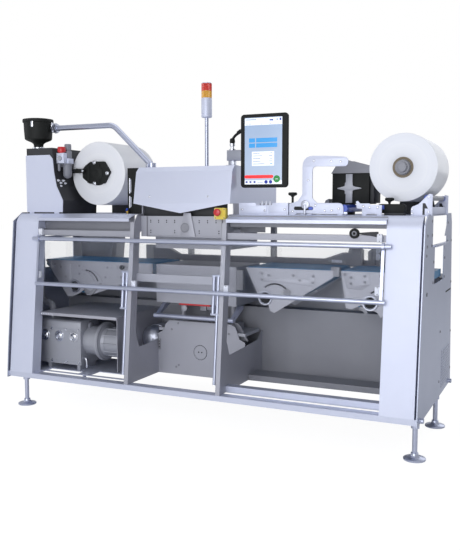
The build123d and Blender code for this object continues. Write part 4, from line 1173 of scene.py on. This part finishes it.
class SEALER_OT_end_brackets(bpy.types.Operator):
    """End brackets of the last guide roller with their cut-outs, screws and cross tie"""
    bl_idname = "sealer.end_brackets"
    bl_label = "End brackets"

    def execute(self, context):
        end = END_PLATE
        plate = rounded(4, (end - 111, DECK, 1), (end + 8, DECK, 1), (end + 8, 1470), (end - 11, 1475),
                        (end - 70, 1416, 6), (end - 105, 1402, 5), (end - 111, 1390, 3))
        # Each cut-out is a thin charcoal sheet on the plate's face: painted shade where the plate is open
        cutout = [(2824, 1356), (2836, 1356), (2836, 1392), (2854, 1392), (2838, 1422), (2824, 1422)]
        parts = []
        for depth in (250, 831):
            parts += [sheet("pale", plate, 5, depth, 0.8), sheet("charcoal", cutout, 1, depth - 0.8)]
            parts += [turned("chrome", (x, depth, z), FORWARD, [(6, 0), (6, 2), (4, 3), (1, 3)], 12)
                      for x, z in ((2765, 1388), (2858, 1456), (2856, 1372), (2765, 1364))]
        parts.append(box("pale", (end - 16, 255, 1356), (end - 6, 831, 1400), 1.5))
        hand_in("End_bracket_plates", parts, replaced="film_end_brackets")
        return {"FINISHED"}


class SEALER_OT_station(bpy.types.Operator):
    """Gear under the hood: dark apron, tool plate ribs and holes, leaning plate and cylinders"""
    bl_idname = "sealer.station"
    bl_label = "Sealing station gear"

    def execute(self, context):
        face = 200
        lean = rounded(4, (1294, 1207, 3), (1405, 1207, 3), (1372, 1362, 6), (1321, 1362, 6))
        parts = [
            box("charcoal", (1000, 232, 1340), (1615, 236, 1420), 1),
            sheet("inner_steel", lean, 5, 192, 0.8),
            turned("dark_steel", (1330, 191, 1266), FORWARD, [(31, 0), (31, 2), (28, 3), (26, 1.4), (1, 1.4)], 40),
        ]
        parts += [turned("machined", (x, 300, 1224), UP, [(15, 0), (17, 2), (17, 46), (12, 48), (9, 50), (9, 70)], 24)
                  for x in (1006, 1588)]
        parts += [box("dark_steel", (x, 194, 1206), (x + 7, face + 1, 1338), 1) for x in (1040, 1590)]
        parts.append(box("inner_steel", (1040, 194, 1204), (1597, face + 1, 1211), 1))
        hand_in("Station_gear", parts)
        places = [((x, face, z), FORWARD) for x in (1070, 1130, 1190, 1250, 1430, 1490, 1550) for z in (1312, 1300)]
        places += [((x, face, z), FORWARD) for x in (1070, 1250, 1430, 1570) for z in (1232, 1246)]
        hand_in("Tool_plate_holes", [copies("shadow", [(4, 0), (4, 0.8), (0.5, 0.8)], 12, places)])
        return {"FINISHED"}


class SEALER_OT_rear_gear(bpy.types.Operator):
    """Drive motor, bearing plate and deflector wheel at the right bay, deck channels, column behind the left bay"""
    bl_idname = "sealer.rear_gear"
    bl_label = "Rear gear"

    def execute(self, context):
        arm = rounded(4, (2196, 1012, 3), (2372, 1012, 3), (2372, 1040, 3), (2330, 1040, 8), (2316, 1120, 3),
                      (2228, 1120, 3))
        bearing = rounded(4, (2362, 1008), (2482, 1008), (2482, 1124), (2392, 1124), (2362, 1100))
        parts = [
            box("dark_steel", (2240, 842, 1012), (2316, 940, 1112), 2, (8, 3)),
            sheet("dark_steel", arm, 10, 880, 1),
            sheet("dark_steel", bearing, 10, 862, 1),
        ]
        parts += [turned("white", (2424, 861, z), FORWARD, [(23, 0), (23, 1), (20, 2), (1, 2)], 32)
                  for z in (1066, 1112)]
        parts += [
            box("dark_steel", (2405, 848, 1004), (2415, 862, 1128), 1.5),
            box("dark_steel", (2196, 842, 996), (2482, 880, 1012), 2),
            box("white", (2116, 836, 1020), (2190, 840, 1040), 1),
        ]
        hand_in("Rear_drive_gear", parts, "machine")

        # Thin sheets under the front of the deck in both bays, in the darker copy of the inner sheet: painted shade
        # under the deck
        parts = [box("dark_steel", low, high, 1) for low, high in (
            ((216, 178, 1240), (958, 182, 1347)), ((1672, 150, 1278), (2652, 154, 1347)),
            ((1672, 300, 1240), (1846, 304, 1347)), ((216, 160, 1240), (958, 178, 1246)),
            ((1672, 154, 1278), (2652, 190, 1282)))]
        hand_in("Deck_channels", parts)

        lever = rounded(4, (2486, 1246, 3), (2560, 1238), (2606, 1230), (2606, 1262), (2560, 1260, 6), (2490, 1254, 3))
        parts = [
            turned("black", (2469, 128, 1250), FORWARD, [
                (26, 0), (29, 3), (29, 16), (26, 19), (18, 19), (16, 15), (9, 15), (7, 20), (1, 21)], 40),
            turned("grey", (2469, 113, 1250), FORWARD, [(15, 0), (14, 2), (1, 3)], 24),
            sheet("charcoal", lever, 8, 118, 1),
            box("dark_steel", (2460, 124, 1236), (2480, 132, 1262), 1),
            turned("chrome", (1764, 150, 1240), DOWN, [(7, -2), (7, 30), (5, 32), (1, 32)], 16),
        ]
        hand_in("Deflector_gear", parts, "machine")

        column = sheet("dark_steel", rounded(2, (44, 952), (330, 952), (372, 1346), (44, 1346)), 168, 826, 3)
        door = sheet("dark_steel", rounded(6, (130, 1040), (314, 1040), (340, 1320), (130, 1320)), 2, 824.4, 0.6)
        hand_in("Rear_column_housing", [column, door], "machine")
        return {"FINISHED"}


class SEALER_OT_end_details(bpy.types.Operator):
    """End plate louvres, handle slot, hatch, opening lips, stub pins and edge screws"""
    bl_idname = "sealer.end_details"
    bl_label = "End plate details"

    def execute(self, context):
        face = END_PLATE
        parts = []
        # Louvre lips and hatch in the darker end sheet: painted shade like the plate they sit on
        for z in range(252, 252 + 19 * 13, 19):
            parts += [sheet("side_steel", slot_points(775, 1115, z, 4.5), 2.4, face - 0.4, 0.8, side=True),
                      sheet("shadow", slot_points(780, 1110, z - 5, 2.6), 1, face - 0.2, side=True)]
        parts += [sheet("shadow", points, 1, face - 0.2, side=True)
                  for points in (slot_points(178, 206, 910, 12), slot_points(880, 1100, 853, 5))]
        hatch = rounded(6, (770, 1218), (1060, 1218), (1040, 1330), (900, 1340))
        parts.append(sheet("side_steel", hatch, 1.4, face - 0.2, side=True))
        parts += [box("tube", low, high, 1.5) for low, high in (
            ((face - 4, 345, 1172), (face + 10, 890, 1180)), ((face - 4, 420, 1165), (face + 12, 780, 1171)))]
        hand_in("End_plate_details", parts)
        places = [((face, y, z), RIGHT) for y, z in (
            (150, 1130), (170, 1240), (165, 1180), (310, 1320), (310, 1180), (320, 1240), (905, 1300), (905, 1180),
            (380, 960), (395, 1080), (800, 1080), (800, 960), (1098, 900), (1136, 560), (1160, 300), (700, 300),
            (700, 620), (1064, 1180))]
        places += [((0, y, z), LEFT) for y, z in ((310, 1320), (905, 1300), (1136, 560), (1160, 300), (380, 960))]
        profile = [(9, 0), (9, 1.4), (6, 3.6), (4, 3.8), (3.6, 2), (0.5, 2)]
        hand_in("End_plate_screws", [copies("dark_steel", profile, 16, places)])
        profile = [(15, 0), (15, 22), (13, 24), (8, 24), (7, 20), (1, 20)]
        pins = copies("tube", profile, 24, [((face, y, 222), RIGHT) for y in (60, 1090)])
        hand_in("Stub_pins", [pins])
        return {"FINISHED"}


class SEALER_OT_slotted_plate(bpy.types.Operator):
    """Slotted black plate beside the used film reel with its slide rods and fittings, and the pipe's seat"""
    bl_idname = "sealer.slotted_plate"
    bl_label = "Slotted plate"

    def execute(self, context):
        plate = rounded(3, (801, 1353, 1), (904, 1353, 1), (904, 1664, 4), (801, 1664, 4))
        parts = [sheet("black", plate, 2, 343, 0.5)]
        for z0, z1 in ((1496, 1592), (1396, 1470)):
            slot = [(x, z) for z, x in slot_points(z0, z1, 821, 9)]
            parts += [sheet("white", slot, 1, 342.4),
                      turned("chrome", (821, 339, z0 - 4), UP, [(5, 0), (5, z1 - z0 + 8), (3, z1 - z0 + 9)], 16)]
        parts += [
            turned("brass", (806, 330, DECK), UP, [(8, 0), (8, 10), (11, 11), (11, 20), (6, 22), (6, 34), (1, 35)], 12),
            turned("bright_blue", (806, 318, 1376), (0.6, -0.6, 0.4), [(7, 0), (7, 20), (5, 24), (1, 24)], 16),
        ]
        hand_in("Slotted_plate", parts, "machine")
        seat = turned("machined", (1006, SUCTION_PIPE[0], 1660), UP,
                      [(34, 0), (34, 6), (26, 8), (24, 22), (20, 24)], 40)
        clip = box("machined", (980, 290, 1660), (996, 322, 1690), 2)
        hand_in("Pipe_seat_parts", [seat, clip])
        return {"FINISHED"}


class SEALER_OT_clamp_arm(bpy.types.Operator):
    """Fixed arm that steadies the hub of the used film reel"""
    bl_idname = "sealer.clamp_arm"
    bl_label = "Clamp arm"

    def execute(self, context):
        parts = [
            box("black", (288, 343, 1640), (396, 353, 1668), 2),
            turned("black", (392, 353, 1654), FORWARD,
                   [(15, 0), (16, 2), (16, 36), (12, 38), (6, 38), (5, 34), (1, 34)], 32),
            sheet("black", slot_points(380, 462, 1652, 15), 8, 312, 1.5),
            turned("chrome", (446, 312, 1652), FORWARD, [(9, 0), (9, 4), (5, 5), (4, 2), (1, 2)], 20),
            box("chrome", (300, 341.6, 1651), (376, 343.4, 1657), 0.5),
        ]
        hand_in("Hub_clamp_arm", parts, "machine")
        return {"FINISHED"}


class SEALER_PT_panel(bpy.types.Panel):
    """Lists the pieces of the tray sealer"""
    bl_idname = "SEALER_PT_panel"
    bl_label = "Tray sealer"
    bl_space_type = "VIEW_3D"
    bl_region_type = "UI"
    bl_category = "Tray sealer"

    def draw(self, context):
        layout = self.layout
        for name in SealerSizes.__annotations__:
            layout.prop(context.scene.sealer_sizes, name)
        for name in SealerColours.__annotations__:
            layout.prop(context.scene.sealer_colours, name)
        for operator in OPERATORS:
            layout.operator(operator.bl_idname)


OPERATORS = (
    SEALER_OT_stage, SEALER_OT_finishes, SEALER_OT_screen, SEALER_OT_beacon, SEALER_OT_stop, SEALER_OT_film_reel,
    SEALER_OT_used_reel, SEALER_OT_canister, SEALER_OT_screws, SEALER_OT_feet, SEALER_OT_conveyors, SEALER_OT_pump,
    SEALER_OT_hose, SEALER_OT_lift, SEALER_OT_switches, SEALER_OT_air_unit, SEALER_OT_screen_arm,
    SEALER_OT_film_path, SEALER_OT_printer, SEALER_OT_guide_rollers, SEALER_OT_end_brackets, SEALER_OT_station,
    SEALER_OT_rear_gear, SEALER_OT_end_details, SEALER_OT_slotted_plate, SEALER_OT_clamp_arm,
)
CLASSES = (SealerSizes, SealerColours) + OPERATORS + (SEALER_PT_panel,)


def register():
    for item in CLASSES:
        bpy.utils.register_class(item)
    bpy.types.Scene.sealer_sizes = bpy.props.PointerProperty(type=SealerSizes)
    bpy.types.Scene.sealer_colours = bpy.props.PointerProperty(type=SealerColours)


def unregister():
    del bpy.types.Scene.sealer_colours
    del bpy.types.Scene.sealer_sizes
    for item in reversed(CLASSES):
        bpy.utils.unregister_class(item)


def main():
    register()
    for operator in OPERATORS:
        group, name = operator.bl_idname.split(".")
        getattr(getattr(bpy.ops, group), name)()


if __name__ == "__main__":
    main()
